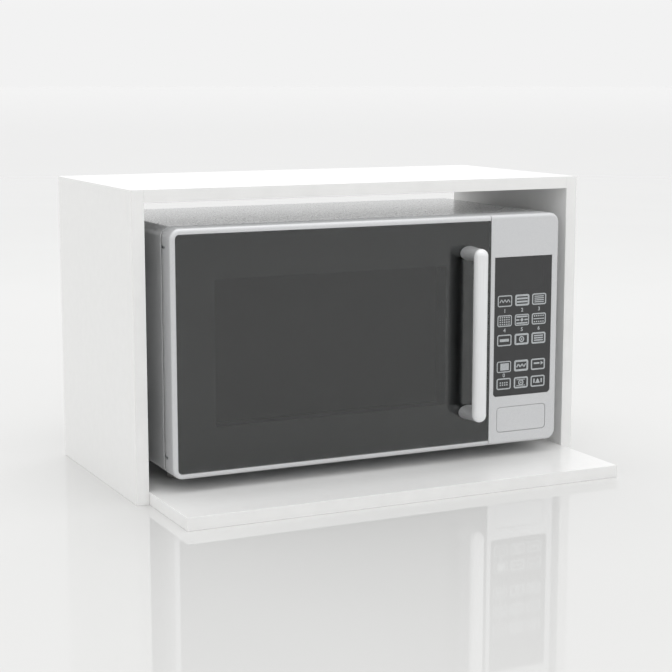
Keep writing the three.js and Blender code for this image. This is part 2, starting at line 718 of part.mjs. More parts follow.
function fanShroud() {
  const { x, z } = FAN;
  const plate = cut(
    block([x - 60, x + 60], SHROUD_Y, [z - 62, z + 62]),
    rod("y", [x, z], [SHROUD_Y[0] - 1, SHROUD_Y[1] + 1], FAN.radius + 4, 36),
  );
  const legs = [-1, 1].map((side) => {
    const legX = [x + side * 56 - 2, x + side * 56 + 2];
    return block(legX, [FAN_ARM_Y[0], SHROUD_Y[1]], [z - 10, z + 10]);
  });
  const arm = block([x - 58, x + 58], FAN_ARM_Y, [z - 10, z + 10]);
  return cut(join(plate, arm, ...legs), rod("y", [x, z], [200, 220], 5, 16));
}

function fanMotor() {
  const { x, z } = FAN;
  const core = block([x - 22, x + 22], [188, FAN_ARM_Y[0] - CLEAR], [z - 20, z + 20]);
  return cut(core, rod("y", [x, z], [196, 215], 3.2, 16));
}

function fanBlade() {
  const blades = [0, 1, 2, 3, 4].map((i) => {
    const blade = block([9, FAN.radius], [-0.8, 0.8], [-13, 13]).rotateX(Math.PI / 5);
    return blade.rotateY((i * 2 * Math.PI) / 5).translate(FAN.x, 226, FAN.z);
  });
  const shaft = rod("y", [FAN.x, FAN.z], [198, 222], 2.4, 16);
  return join(shaft, rod("y", [FAN.x, FAN.z], [216, 236], 12, 20), ...blades);
}

function lamp() {
  const { y, z } = LAMP;
  return join(rod("x", [y, z], [111.5, 134], 8, 16), rod("x", [y, z], [133, 152], 10, 16));
}

function makeWorks() {
  const works = new THREE.Group();
  works.add(
    piece("latch_bracket", latchBracket(), creamPlastic),
    piece("door_switch_lower", doorSwitch(HOOK_Z.lower), blackPlastic),
    piece("door_switch_upper", doorSwitch(HOOK_Z.upper), blackPlastic),
    piece("power_transformer", highVoltageTransformer(), copperBrown),
    piece("capacitor", capacitor(), zincSteel),
    piece("magnetron", magnetron(), zincSteel),
    piece("fan_shroud", fanShroud(), creamPlastic),
    piece("fan_motor", fanMotor(), zincSteel),
    piece("fan_blade", fanBlade(), creamPlastic),
    piece("cavity_lamp", lamp(), clearGlass),
  );
  return works;
}

// ---- The whole ----

function makeOven() {
  const oven = new THREE.Group();
  oven.add(makeDoor(), makeHinge(), makeControls(), makeCasing(), makeTurntable(), makeWorks());
  oven.position.set(OVEN_OFFSET, OVEN_SETBACK - backY, OVEN_HEIGHT);
  return oven;
}

const group = new THREE.Group();
group.add(makeCabinet(), makeOven());

export default group;
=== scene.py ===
# %% [markdown]
# # A microwave cabinet
# The real thing is a white board housing, open at the front and the back, with a microwave oven on its
# shelf. The oven has a silver front, a black glass door with a bar handle on the right, and a black keypad.
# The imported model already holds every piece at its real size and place, so it is loaded first and never
# moved. What follows adds the finishes, and remakes the pieces that show with their fine roundings, slots
# and print.

# %% Load the frame
import json
import math

import bmesh
import bpy
from mathutils import Matrix, Vector

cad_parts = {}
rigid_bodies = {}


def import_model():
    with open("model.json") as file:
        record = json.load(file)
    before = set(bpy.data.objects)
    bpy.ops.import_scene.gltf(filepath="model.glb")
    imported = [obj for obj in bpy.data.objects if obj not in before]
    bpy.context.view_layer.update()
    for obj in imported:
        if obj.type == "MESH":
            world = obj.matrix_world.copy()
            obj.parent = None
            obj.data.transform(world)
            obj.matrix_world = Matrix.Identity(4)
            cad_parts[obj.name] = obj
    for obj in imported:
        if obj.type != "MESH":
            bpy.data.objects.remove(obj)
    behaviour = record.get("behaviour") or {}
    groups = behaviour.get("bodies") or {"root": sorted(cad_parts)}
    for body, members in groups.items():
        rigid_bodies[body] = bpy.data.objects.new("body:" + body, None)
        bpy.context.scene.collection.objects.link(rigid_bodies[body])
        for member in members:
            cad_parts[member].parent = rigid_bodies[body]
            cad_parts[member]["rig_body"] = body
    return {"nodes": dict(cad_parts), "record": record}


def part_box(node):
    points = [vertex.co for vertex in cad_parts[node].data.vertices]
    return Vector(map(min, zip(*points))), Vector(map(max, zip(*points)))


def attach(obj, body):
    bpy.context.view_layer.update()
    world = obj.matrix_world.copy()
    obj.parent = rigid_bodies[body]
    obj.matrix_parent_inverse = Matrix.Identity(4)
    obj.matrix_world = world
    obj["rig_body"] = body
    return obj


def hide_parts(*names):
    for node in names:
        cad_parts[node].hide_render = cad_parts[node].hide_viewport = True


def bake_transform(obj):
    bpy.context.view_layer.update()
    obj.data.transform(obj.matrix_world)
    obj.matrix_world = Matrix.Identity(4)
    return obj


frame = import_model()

scene = bpy.context.scene
nodes = frame["nodes"]
node_slots = {row["node"]: row["material_slot"] for row in frame["record"]["subparts"]}
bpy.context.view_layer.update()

# %% [markdown]
# ## The oven's frame
# The cabinet is measured from the floor under its middle. The oven is a product of its own, so it is easier
# to draw in its maker's frame: X from 260 mm inside its left side, Y from the glass to the back, Z from its
# casing's underside. It is drawn in millimetres, and one matrix takes it to the scene's metres. The oven's
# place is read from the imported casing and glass, so it follows them.

# %% The oven's own frame
MM = 0.001
LEFT_SIDE = -260.0
casing_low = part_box("outer_casing")[0]
oven_origin = Vector((casing_low.x - LEFT_SIDE * MM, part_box("door_glass")[0].y, casing_low.z))
OVEN_FRAME = Matrix.Translation(oven_origin) @ Matrix.Scale(MM, 4)


def spans(node):
    """A node's reach along X, Y and Z, in millimetres in the oven's frame."""
    low, high = (OVEN_FRAME.inverted() @ Vector(corner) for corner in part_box(node))
    return [(low[i], high[i]) for i in range(3)]


def middle(span):
    """The middle of a reach."""
    return (span[0] + span[1]) / 2


def grown(span, by):
    """A reach made longer by an amount at both ends, or shorter if the amount is negative."""
    return (span[0] - by, span[1] + by)


print("the oven's frame starts at", [round(v, 4) for v in oven_origin])

# %% [markdown]
# ## The camera
# The photograph looks down at the left front corner from about two metres, with a short telephoto lens.
# The place and the turn were solved from the photograph's straight edges, so they are simply set here.

# %% Camera
CAMERA_PLACE = (-0.8966, -1.8536, 0.4975)
CAMERA_YAW = 25.718
CAMERA_PITCH = -9.093
CAMERA_LENS = 87.95
camera_data = bpy.data.cameras.new("camera")
camera_data.lens = CAMERA_LENS
camera_data.sensor_width = 36
camera = bpy.data.objects.new("camera", camera_data)
camera.location = CAMERA_PLACE
camera.rotation_euler = (math.radians(90 + CAMERA_PITCH), 0, math.radians(-CAMERA_YAW))
scene.collection.objects.link(camera)
scene.camera = camera
print("camera", CAMERA_PLACE, "yaw", CAMERA_YAW, "pitch", CAMERA_PITCH)

# %% [markdown]
# ## Colours and nodes
# A colour is picked on a screen as an sRGB hex value, but light adds up in linear values, so one function
# turns the one into the other. A second function sets a node's sockets, and a third adds a node. Names with
# a capital are sockets, which take a value or a link. Names without one are the node's own settings.


# %% Helpers for colours and nodes
def linear(colour):
    """An sRGB hex value such as #c9cacb as linear red, green, blue and alpha."""
    parts = [int(colour[i : i + 2], 16) / 255 for i in (1, 3, 5)]
    return [c / 12.92 if c <= 0.04045 else ((c + 0.055) / 1.055) ** 2.4 for c in parts] + [1]


def set_sockets(tree, node, values):
    """Gives sockets a value, a colour or a link. An underscore in a name stands for a space."""
    for name, value in values.items():
        socket = node.inputs[name.replace("_", " ")]
        if isinstance(value, bpy.types.NodeSocket):
            tree.links.new(value, socket)
        else:
            socket.default_value = linear(value) if isinstance(value, str) else value


def add_node(tree, kind, out=0, stops=None, **values):
    """Adds a shader node and returns one of its outputs. Stops are a colour ramp's places and colours."""
    node = tree.nodes.new("ShaderNode" + kind)
    for name in [name for name in values if name[0].islower()]:
        setattr(node, name, values.pop(name))
    set_sockets(tree, node, values)
    for stop, (position, colour) in zip(node.color_ramp.elements if stops else (), (stops or {}).items()):
        stop.position = position
        stop.color = linear(colour)
    return node.outputs[out]


print("helpers for nodes ready")

# %% Helpers for finishes
finishes = {}


def start_finish(key, name):
    """A new material with a Principled surface. Returns its node tree and its Object coordinates."""
    material = bpy.data.materials.new(name)
    material.use_nodes = True
    finishes[key] = material
    print("finish:", name)
    return material.node_tree, add_node(material.node_tree, "TexCoord", out="Object")


def set_surface(tree, **values):
    """Sets the Principled surface."""
    set_sockets(tree, tree.nodes["Principled BSDF"], values)


print("helpers for finishes ready")

# %% [markdown]
# ## Melamine-faced board
# The boards are chipboard with a melamine paper pressed on each face. The steel press plate leaves a satin
# skin with a shallow pearl structure about a millimetre wide. To the eye that is an even, slightly cloudy
# white, whose gloss is gently broken up.

# %% Finish: white melamine board
tree, place = start_finish("white_board", "melamine_board")
paper = add_node(tree, "TexNoise", Vector=place, Scale=1 / (12 * MM))
pearl = add_node(tree, "TexNoise", Vector=place, Scale=1 / (1.4 * MM), Detail=1.0)
set_surface(
    tree,
    Base_Color=add_node(tree, "ValToRGB", Fac=paper, stops={0.3: "#f1f1f0", 0.7: "#f3f3f2"}),
    Roughness=add_node(tree, "MapRange", Value=pearl, To_Min=0.22, To_Max=0.27),
    IOR=1.5,
    Normal=add_node(tree, "Bump", Height=pearl, Distance=0.003 * MM),
)

# %% [markdown]
# ## Edge banding
# The front edges are closed with a 1 mm strip of white ABS, glued on and trimmed flush. The trimming cutter
# leaves faint chatter marks, and the plastic is a little duller than the pressed face of the board.

# %% Finish: white ABS edge band
tree, place = start_finish("white_edge", "abs_edge_band")
batch = add_node(tree, "TexNoise", Vector=place, Scale=1 / (30 * MM))
# A Wave texture's own period is pi / 10, so this scale puts the marks 2.5 mm apart.
marks_apart = math.pi / 10 / (2.5 * MM)
chatter = add_node(tree, "TexWave", out="Fac", Vector=place, Scale=marks_apart, bands_direction="DIAGONAL")
set_surface(
    tree,
    Base_Color=add_node(tree, "ValToRGB", Fac=batch, stops={0.3: "#eeeeed", 0.7: "#f2f2f1"}),
    Roughness=0.36,
    IOR=1.53,
    Normal=add_node(tree, "Bump", Height=chatter, Distance=0.003 * MM),
)

# %% [markdown]
# ## Silver lacquered ABS
# The door frame, the fascia and the push button are moulded in ABS and sprayed with a silver lacquer:
# aluminium flakes in a clear binder. The flakes lie mostly flat, so the surface is bright where it faces
# the light and falls off softly. Real flakes are a twentieth of a millimetre. Here they are 0.5 mm, the
# finest that shows.

# %% Finish: silver lacquered ABS
tree, place = start_finish("silver_plastic", "silver_lacquered_abs")
flakes = add_node(tree, "TexVoronoi", out="Color", Vector=place, Scale=1 / (0.5 * MM))
flow = add_node(tree, "TexNoise", Vector=place, Scale=1 / (3.5 * MM), Detail=1.0)
set_surface(
    tree,
    Base_Color=add_node(tree, "ValToRGB", Fac=flakes, stops={0.2: "#cfd0d2", 0.8: "#d9dadb"}),
    Metallic=0.5,
    Roughness=0.47,
    Normal=add_node(tree, "Bump", Height=flow, Distance=0.006 * MM),
)

# %% [markdown]
# ## Silver-painted steel
# The wrap-round casing is galvanised sheet with a baked silver powder coat. Powder flows out to an orange
# peel about 3 mm wide, which breaks reflections into soft ripples.

# %% Finish: silver powder-coated steel
tree, place = start_finish("silver_paint", "silver_powder_coat")
flakes = add_node(tree, "TexVoronoi", out="Color", Vector=place, Scale=1 / (0.7 * MM))
peel = add_node(tree, "TexNoise", Vector=place, Scale=1 / (3 * MM), Detail=1.5)
set_surface(
    tree,
    Base_Color=add_node(tree, "ValToRGB", Fac=flakes, stops={0.2: "#d5d6d7", 0.8: "#dedfe0"}),
    Metallic=0.4,
    Roughness=add_node(tree, "MapRange", Value=peel, From_Min=0.3, From_Max=0.7, To_Min=0.17, To_Max=0.21),
    Normal=add_node(tree, "Bump", Height=peel, Distance=0.001 * MM),
)

# %% [markdown]
# ## Glass
# The door's front is a pane of float glass with a light grey tint, and its border is printed behind in
# black ceramic enamel, fired on. Both faces of the pane reflect the floor in front, so the eye sees a soft,
# doubled image of it on black. That is why the black looks dark grey. The tray and the lamp are clear
# pressed glass, which always has a faint waviness.

# %% Finish: tinted float glass, ceramic enamel
tree, place = start_finish("black_glass", "tinted_float_glass")
float_wave = add_node(tree, "TexNoise", Vector=place, Scale=1 / (90 * MM), Detail=0.0)
set_surface(
    tree,
    Base_Color="#cfd3d2",
    Roughness=0.0,
    IOR=1.52,
    Transmission_Weight=1.0,
    Normal=add_node(tree, "Bump", Height=float_wave, Distance=0.002 * MM),
)

tree, place = start_finish("enamel_print", "black_ceramic_enamel")
firing = add_node(tree, "TexNoise", Vector=place, Scale=1 / (6 * MM))
set_surface(
    tree,
    Base_Color=add_node(tree, "ValToRGB", Fac=firing, stops={0.3: "#020203", 0.7: "#050506"}),
    Roughness=0.12,
    Specular_IOR_Level=0.3,
)

# %% Finish: clear pressed glass
tree, place = start_finish("clear_glass", "clear_pressed_glass")
pressing = add_node(tree, "TexNoise", Vector=place, Scale=1 / (25 * MM), Detail=1.0)
set_surface(
    tree,
    Base_Color="#e6f1ee",
    Roughness=0.02,
    IOR=1.52,
    Transmission_Weight=1.0,
    Normal=add_node(tree, "Bump", Height=pressing, Distance=0.02 * MM),
)

# %% [markdown]
# ## Keypad film and its print
# The keypad is a polyester film, printed black on its back, with a fine satin front so that it doesn't
# dazzle. The key outlines and signs are screen-printed in light grey ink, which is matt and slightly
# uneven. The display's window is clear-coated: a smoked, glossy patch.

# %% Finish: keypad film, ink and display window
tree, place = start_finish("black_film", "satin_polyester_film")
backing = add_node(tree, "TexNoise", Vector=place, Scale=1 / (12 * MM))
satin = add_node(tree, "TexNoise", Vector=place, Scale=1 / (0.8 * MM), Detail=1.0)
set_surface(
    tree,
    Base_Color=add_node(tree, "ValToRGB", Fac=backing, stops={0.3: "#212223", 0.7: "#262728"}),
    Roughness=0.3,
    IOR=1.6,
    Normal=add_node(tree, "Bump", Height=satin, Distance=0.006 * MM),
)

tree, place = start_finish("print_ink", "screen_print_ink")
mesh_marks = add_node(tree, "TexNoise", Vector=place, Scale=1 / (1.2 * MM))
set_surface(
    tree,
    Base_Color=add_node(tree, "ValToRGB", Fac=mesh_marks, stops={0.3: "#a7abad", 0.7: "#bec2c4"}),
    Roughness=0.6,
    IOR=1.5,
)

tree, place = start_finish("display_window", "smoked_display_window")
tint = add_node(tree, "TexNoise", Vector=place, Scale=1 / (10 * MM))
set_surface(
    tree,
    Base_Color=add_node(tree, "ValToRGB", Fac=tint, stops={0.3: "#212223", 0.7: "#252627"}),
    Roughness=0.08,
    IOR=1.6,
)

# %% [markdown]
# ## Black and cream plastics, rubber
# Inner covers are ABS moulded in a spark-eroded tool, so they have a fine matt grain. The coupler, the
# roller ring, the hooks and the fan are cream acetal: smooth, slightly waxy, with a little depth. The feet
# are moulded rubber, which is matt and always picks up some dust.

# %% Finish: black ABS, cream acetal
tree, place = start_finish("black_plastic", "grained_black_abs")
resin = add_node(tree, "TexNoise", Vector=place, Scale=1 / (15 * MM))
grain = add_node(tree, "TexNoise", Vector=place, Scale=1 / (0.7 * MM), Detail=3.0)
set_surface(
    tree,
    Base_Color=add_node(tree, "ValToRGB", Fac=resin, stops={0.3: "#101112", 0.7: "#151617"}),
    Roughness=0.5,
    IOR=1.53,
    Normal=add_node(tree, "Bump", Height=grain, Distance=0.02 * MM),
)

tree, place = start_finish("cream_plastic", "cream_acetal")
resin = add_node(tree, "TexNoise", Vector=place, Scale=1 / (10 * MM))
set_surface(
    tree,
    Base_Color=add_node(tree, "ValToRGB", Fac=resin, stops={0.3: "#dcd8ca", 0.7: "#e5e1d5"}),
    Roughness=0.38,
    IOR=1.48,
    Subsurface_Weight=0.1,
    Subsurface_Scale=2 * MM,
    Normal=add_node(tree, "Bump", Height=resin, Distance=0.02 * MM),
)

# %% Finish: rubber
tree, place = start_finish("rubber", "moulded_rubber")
dust = add_node(tree, "TexNoise", Vector=place, Scale=1 / (4 * MM), Detail=4.0)
set_surface(
    tree,
    Base_Color=add_node(tree, "ValToRGB", Fac=dust, stops={0.3: "#8f8f8d", 0.7: "#9c9c99"}),
    Roughness=0.75,
    IOR=1.5,
    Normal=add_node(tree, "Bump", Height=dust, Distance=0.05 * MM),
)

# %% [markdown]
# ## Metals
# The handle's bar is brushed aluminium under a pearly lacquer: nearly white, with a satin band of light
# that runs down it. Its legs are clear anodised, darker than the bar, and partly mirror what they face.
# Brackets, screws and the rear panel are zinc-plated steel, whose zinc crystallises in faint spangles, here
# 7 mm across. Copper wire is wound in rows and varnished. Metals keep the default IOR, because their colour
# sets the reflection.

# %% Finish: lacquered and anodised aluminium
tree, place = start_finish("handle_metal", "pearl_lacquered_aluminium")
along = add_node(tree, "Mapping", Vector=place, Scale=(1, 1, 0.015))
brushed = add_node(tree, "TexNoise", Vector=along, Scale=1 / (0.6 * MM))
set_surface(
    tree,
    Base_Color=add_node(tree, "ValToRGB", Fac=brushed, stops={0.3: "#e6e7e8", 0.7: "#f0f1f2"}),
    Metallic=0.1,
    Roughness=add_node(tree, "MapRange", Value=brushed, From_Min=0.3, From_Max=0.7, To_Min=0.36, To_Max=0.42),
    Normal=add_node(tree, "Bump", Height=brushed, Distance=0.004 * MM),
)

tree, place = start_finish("leg_metal", "clear_anodised_aluminium")
across = add_node(tree, "Mapping", Vector=place, Scale=(1, 0.015, 1))
brushed = add_node(tree, "TexNoise", Vector=across, Scale=1 / (0.8 * MM))
set_surface(
    tree,
    Base_Color=add_node(tree, "ValToRGB", Fac=brushed, stops={0.3: "#c4c5c6", 0.7: "#d2d3d4"}),
    Metallic=0.6,
    Roughness=add_node(tree, "MapRange", Value=brushed, From_Min=0.3, From_Max=0.7, To_Min=0.28, To_Max=0.34),
)

# %% Finish: zinc-plated steel, copper windings
tree, place = start_finish("zinc_steel", "zinc_plated_steel")
spangles = add_node(tree, "TexVoronoi", out="Color", Vector=place, Scale=1 / (7 * MM))
set_surface(
    tree,
    Base_Color=add_node(tree, "ValToRGB", Fac=spangles, stops={0.1: "#9b9ea0", 0.9: "#b2b5b7"}),
    Metallic=1.0,
    Roughness=add_node(tree, "MapRange", Value=spangles, To_Min=0.33, To_Max=0.45),
)

tree, place = start_finish("copper_wire", "varnished_copper_wire")
# The wire is 0.8 mm thick. Its turns are drawn 1.6 mm apart, so that they show.
turns_apart = math.pi / 10 / (1.6 * MM)
wire = add_node(tree, "TexWave", out="Fac", Vector=place, Scale=turns_apart, bands_direction="Z")
set_surface(
    tree,
    Base_Color=add_node(tree, "ValToRGB", Fac=wire, stops={0.1: "#6e3420", 0.7: "#b8633f"}),
    Metallic=0.8,
    Roughness=0.35,
    Normal=add_node(tree, "Bump", Height=wire, Distance=0.4 * MM),
)

# %% [markdown]
# ## Inside the oven
# The cavity is steel with a grey epoxy enamel, speckled so that splashes don't show. The waveguide's cover
# is mica: thin flakes pressed with resin, pearly and streaked. The works behind have varnished iron
# laminations half a millimetre thick, drawn at one millimetre, and a green fibreglass circuit board with
# tinned tracks.

# %% Finish: cavity enamel, mica
tree, place = start_finish("cavity_paint", "speckled_cavity_enamel")
specks = add_node(tree, "TexVoronoi", out="Distance", Vector=place, Scale=1 / (2.2 * MM))
peel = add_node(tree, "TexNoise", Vector=place, Scale=1 / (2.5 * MM))
set_surface(
    tree,
    Base_Color=add_node(tree, "ValToRGB", Fac=specks, stops={0.14: "#86888a", 0.22: "#b9bab8"}),
    Roughness=0.4,
    IOR=1.5,
    Normal=add_node(tree, "Bump", Height=peel, Distance=0.012 * MM),
)

tree, place = start_finish("mica", "pressed_mica")
streaks = add_node(tree, "Mapping", Vector=place, Scale=(1, 0.4, 1))
layers = add_node(tree, "TexNoise", Vector=streaks, Scale=1 / (5 * MM), Detail=5.0)
set_surface(
    tree,
    Base_Color=add_node(tree, "ValToRGB", Fac=layers, stops={0.3: "#a8946c", 0.7: "#d6c59f"}),
    Roughness=0.45,
    IOR=1.58,
    Normal=add_node(tree, "Bump", Height=layers, Distance=0.03 * MM),
)

# %% Finish: laminated iron, circuit board
tree, place = start_finish("laminated_iron", "varnished_laminations")
sheets = add_node(tree, "TexWave", out="Fac", Vector=place, Scale=math.pi / 10 / MM, bands_direction="Z")
set_surface(
    tree,
    Base_Color=add_node(tree, "ValToRGB", Fac=sheets, stops={0.2: "#3a2c24", 0.8: "#5c4a3e"}),
    Metallic=0.4,
    Roughness=0.45,
    Normal=add_node(tree, "Bump", Height=sheets, Distance=0.1 * MM),
)

tree, place = start_finish("circuit_board", "coated_circuit_board")
# Parts on a board sit on a 2.54 mm raster, so its tracks do too.
raster = [1 / (2.54 * MM)] * 3
upright = add_node(tree, "Mapping", Vector=place, Rotation=(math.pi / 2, 0, 0), Scale=raster)
tracks = add_node(
    tree,
    "TexBrick",
    Vector=upright,
    Color1="#2b5638",
    Color2="#326142",
    Mortar="#6f9a6c",
    Scale=1.0,
    Mortar_Size=0.12,
    Brick_Width=4.0,
    Row_Height=1.0,
)
set_surface(tree, Base_Color=tracks, Roughness=0.35, IOR=1.55)

# %% [markdown]
# ## The screen in the door's window
# Behind the window lies a steel screen with holes too small for microwaves, enamelled black. Real holes are
# about 1.2 mm on a 2 mm pitch. They are drawn as darker dots, painted shade for the dark inside that shows
# through each hole, since twelve thousand real holes would weigh more than the rest of the object.

# %% Finish: perforated screen
tree, place = start_finish("window_screen", "perforated_black_screen")
# The darker dots are painted shade: the dark inside seen through each hole, not real openings.
hole_shade_dots = add_node(tree, "TexVoronoi", out="Distance", Vector=place, Scale=1 / (2 * MM), Randomness=0.0)
set_surface(
    tree,
    Base_Color=add_node(tree, "ValToRGB", Fac=hole_shade_dots, stops={0.3: "#010101", 0.36: "#070708"}),
    Roughness=0.6,
    Specular_IOR_Level=0.1,
)
print(len(finishes), "finishes in all")

# %% [markdown]
# ## Keeping a piece
# A finished shape becomes an object at the origin, with its place in its mesh. It rides on the body that
# its node rides on, unless it is left free of the bodies, and it may stand for that node. Real arrises are
# never sharp, and a tiny rounding is what catches the light, so most pieces get a Bevel modifier, an arris
# of a few tenths of a millimetre. The Weighted Normal modifier then keeps the big faces looking flat.


# %% Helpers for pieces
def new_object(name, bm):
    """Turns a shape into an object of the scene."""
    mesh = bpy.data.meshes.new(name)
    bm.to_mesh(mesh)
    bm.free()
    made = bpy.data.objects.new(name, mesh)
    scene.collection.objects.link(made)
    return made


def keep_piece(
    name, bm, node, finish, arris=0.0, matrix=OVEN_FRAME, replaces=True, smooth=35, rides=True
):
    """Makes a shape a piece that rides where a node does, or is left free of the bodies."""
    bmesh.ops.transform(bm, matrix=matrix, verts=bm.verts)
    piece = new_object(name, bm)
    piece.data.materials.append(finishes[finish])
    piece.data.shade_smooth()
    if arris:
        bevel = piece.modifiers.new("arris", "BEVEL")
        bevel.width = arris * MM
        bevel.segments = 2
        bevel.limit_method = "ANGLE"
        bevel.angle_limit = math.radians(40)
        bevel.use_clamp_overlap = False
        piece.modifiers.new("flat_faces", "WEIGHTED_NORMAL")
    else:
        piece.data.set_sharp_from_angle(angle=math.radians(smooth))
    if rides:
        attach(piece, nodes[node]["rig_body"])
    if replaces:
        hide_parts(node)
    return piece


print("node slots known:", len(node_slots))


# %% Helper for eased copies
def eased_copy(node, finish, arris):
    """A copy of a node whose shape is right, merged, with its arrises rounded."""
    bm = bmesh.new()
    bm.from_mesh(nodes[node].data)
    bmesh.ops.remove_doubles(bm, verts=bm.verts, dist=0.002 * MM)
    bmesh.ops.dissolve_limit(bm, angle_limit=math.radians(0.5), verts=bm.verts, edges=bm.edges)
    keep_piece(node + "_eased", bm, node, finish, arris, matrix=Matrix())


print("helper for eased copies ready")

# %% [markdown]
# ## The boards
# Each board is sawn square, then its long arrises are eased so that they don't cut the hand. The packed
# boards have the right shape, so they are copied and only their arrises change.

# %% Boards, bands and cam locks
BOARDS = ("side_panel_left", "side_panel_right", "top_panel", "base_shelf")
RAILS = ("back_rail_lower", "back_rail_upper")
BANDS = ("edge_band_left", "edge_band_right", "edge_band_top", "edge_band_shelf")
for node in BOARDS + RAILS:
    eased_copy(node, "white_board", 0.35)
for node in BANDS:
    eased_copy(node, "white_edge", 0.2)
for i in range(1, 5):
    eased_copy(f"cam_lock_{i}", "zinc_steel", 0.25)
print("boards:", len(BOARDS), "rails:", len(RAILS), "bands:", len(BANDS))

# %% [markdown]
# ## Blocks with round edges
# The oven's door frame and its control fascia are one rounded form, split by a narrow gap. Its four corners
# have a radius of 12 mm, and its front edge rolls over with a radius of 4.5 mm. Each half starts as a cube,
# stretched to its reach. A bevel along two edges makes the round corners, and a second bevel round the
# front makes the roll.


# %% Blocks and round edges
HAIR = 1e-3  # two places that are closer than this, in millimetres, are the same


def block(x, y, z):
    """A box, given by its reach along each axis."""
    bm = bmesh.new()
    bmesh.ops.create_cube(bm, size=1)
    bmesh.ops.scale(bm, vec=[high - low for low, high in (x, y, z)], verts=bm.verts)
    bmesh.ops.translate(bm, vec=[middle(span) for span in (x, y, z)], verts=bm.verts)
    return bm


def round_off(bm, edges, radius, segments=4):
    """Rounds edges by a radius."""
    settings = {"segments": segments, "profile": 0.5, "affect": "EDGES", "material": -1}
    bmesh.ops.bevel(bm, geom=edges, offset=radius, offset_type="OFFSET", **settings)
    return bm


def edges_where(bm, test):
    """The edges whose two ends both pass a test."""
    return [edge for edge in bm.edges if all(test(vert.co) for vert in edge.verts)]


def slab(x, y, z, radius, left=True, right=True):
    """A plate that faces the front, with round corners on its left side, its right side or both."""
    bm = block(x, y, z)
    corners = []
    for edge in bm.edges:
        first, second = (vert.co for vert in edge.verts)
        if abs(first.y - second.y) > HAIR and (left if first.x < middle(x) else right):
            corners.append(edge)
    return round_off(bm, corners, radius, segments=10)


print("places closer than", HAIR, "mm count as one")

# %% The two front halves
CORNER = 12.0
ROLL = 4.5
SMALL = 0.3  # the clearance between neighbours


def front_half(node, outer):
    """The rounded block of the door's frame or of the fascia. The side towards the gap stays square."""
    x, y, z = spans(node)
    bm = slab(x, y, z, CORNER, left=outer == "left", right=outer == "right")
    split = x[1] if outer == "left" else x[0]
    rim = edges_where(bm, lambda co: abs(co.y - y[0]) < HAIR)
    rim = [edge for edge in rim if max(abs(vert.co.x - split) for vert in edge.verts) > HAIR]
    return round_off(bm, rim, ROLL, segments=7)


print("corners", CORNER, "mm, front roll", ROLL, "mm")

# %% [markdown]
# ## Cutting
# Seats, hollows and slots are cut with tools, as in a workshop: a tool is a shape of its own, and an exact
# boolean subtracts it. Booleans work on objects, so the shapes become short-lived ones. Pins and bores need
# a rod, which is create_cone with two equal radii. A turned piece is a profile of radii and heights, spun
# all the way round. A full spin ends where it began, so it merges its ends, and its normals are worked out
# afresh.


# %% Rods and turned pieces
def rod(axis, centre, span, radius, sides=48):
    """A cylinder along an axis. The centre gives the other two coordinates, in order."""
    bm = bmesh.new()
    depth = span[1] - span[0]
    bmesh.ops.create_cone(bm, cap_ends=True, segments=sides, radius1=radius, radius2=radius, depth=depth)
    lie = Matrix() if axis == "z" else Matrix.Rotation(math.pi / 2, 4, "Y" if axis == "x" else "X")
    place = list(centre)
    place.insert("xyz".index(axis), middle(span))
    bmesh.ops.transform(bm, matrix=Matrix.Translation(place) @ lie, verts=bm.verts)
    return bm


def turned(profile, centre=(0, 0), axis="z", steps=64):
    """A profile of (radius, height) pairs, spun all the way round an axis through the centre."""
    bm = bmesh.new()
    verts = [bm.verts.new((radius, 0, height)) for radius, height in profile]
    edges = [bm.edges.new(pair) for pair in zip(verts, verts[1:])]
    turn = {"cent": (0, 0, 0), "axis": (0, 0, 1), "angle": 2 * math.pi, "steps": steps}
    bmesh.ops.spin(bm, geom=verts + edges, use_merge=True, **turn)
    bmesh.ops.remove_doubles(bm, verts=bm.verts, dist=1e-4)
    bmesh.ops.recalc_face_normals(bm, faces=bm.faces)
    if axis == "y":
        bmesh.ops.rotate(bm, matrix=Matrix.Rotation(-math.pi / 2, 3, "X"), verts=bm.verts)
    place = list(centre)
    place.insert("xyz".index(axis), 0)
    bmesh.ops.translate(bm, vec=place, verts=bm.verts)
    return bm


print("rods and turned pieces ready")


# %% Cutting tools
def gathered(*shapes):
    """Several shapes as one."""
    whole = bmesh.new()
    for shape in shapes:
        carrier = bpy.data.meshes.new("carrier")
        shape.to_mesh(carrier)
        shape.free()
        whole.from_mesh(carrier)
        bpy.data.meshes.remove(carrier)
    return whole


def carve(body, *tools, operation="DIFFERENCE"):
    """The body with the tools cut out of it, or joined to it, by exact booleans."""
    helpers = [new_object("helper", shape) for shape in (body, *tools)]
    for tool in helpers[1:]:
        boolean = helpers[0].modifiers.new("boolean", "BOOLEAN")
        boolean.operation = operation
        boolean.solver = "EXACT"
        boolean.object = tool
    result = bmesh.new()
    result.from_object(helpers[0], bpy.context.evaluated_depsgraph_get())
    for helper in helpers:
        bpy.data.meshes.remove(helper.data)
    return result


print("cutting tools ready")

# %% [markdown]
# ## The door frame
# The frame is a moulded tray. In front it has a seat for the glass, behind it is hollow, and its window lets
# the screen show. Its rear left edge is round about the hinge's axis, so that the door can swing without
# hitting the casing. Two slots let the hinge arms in, and two bores take the pins.

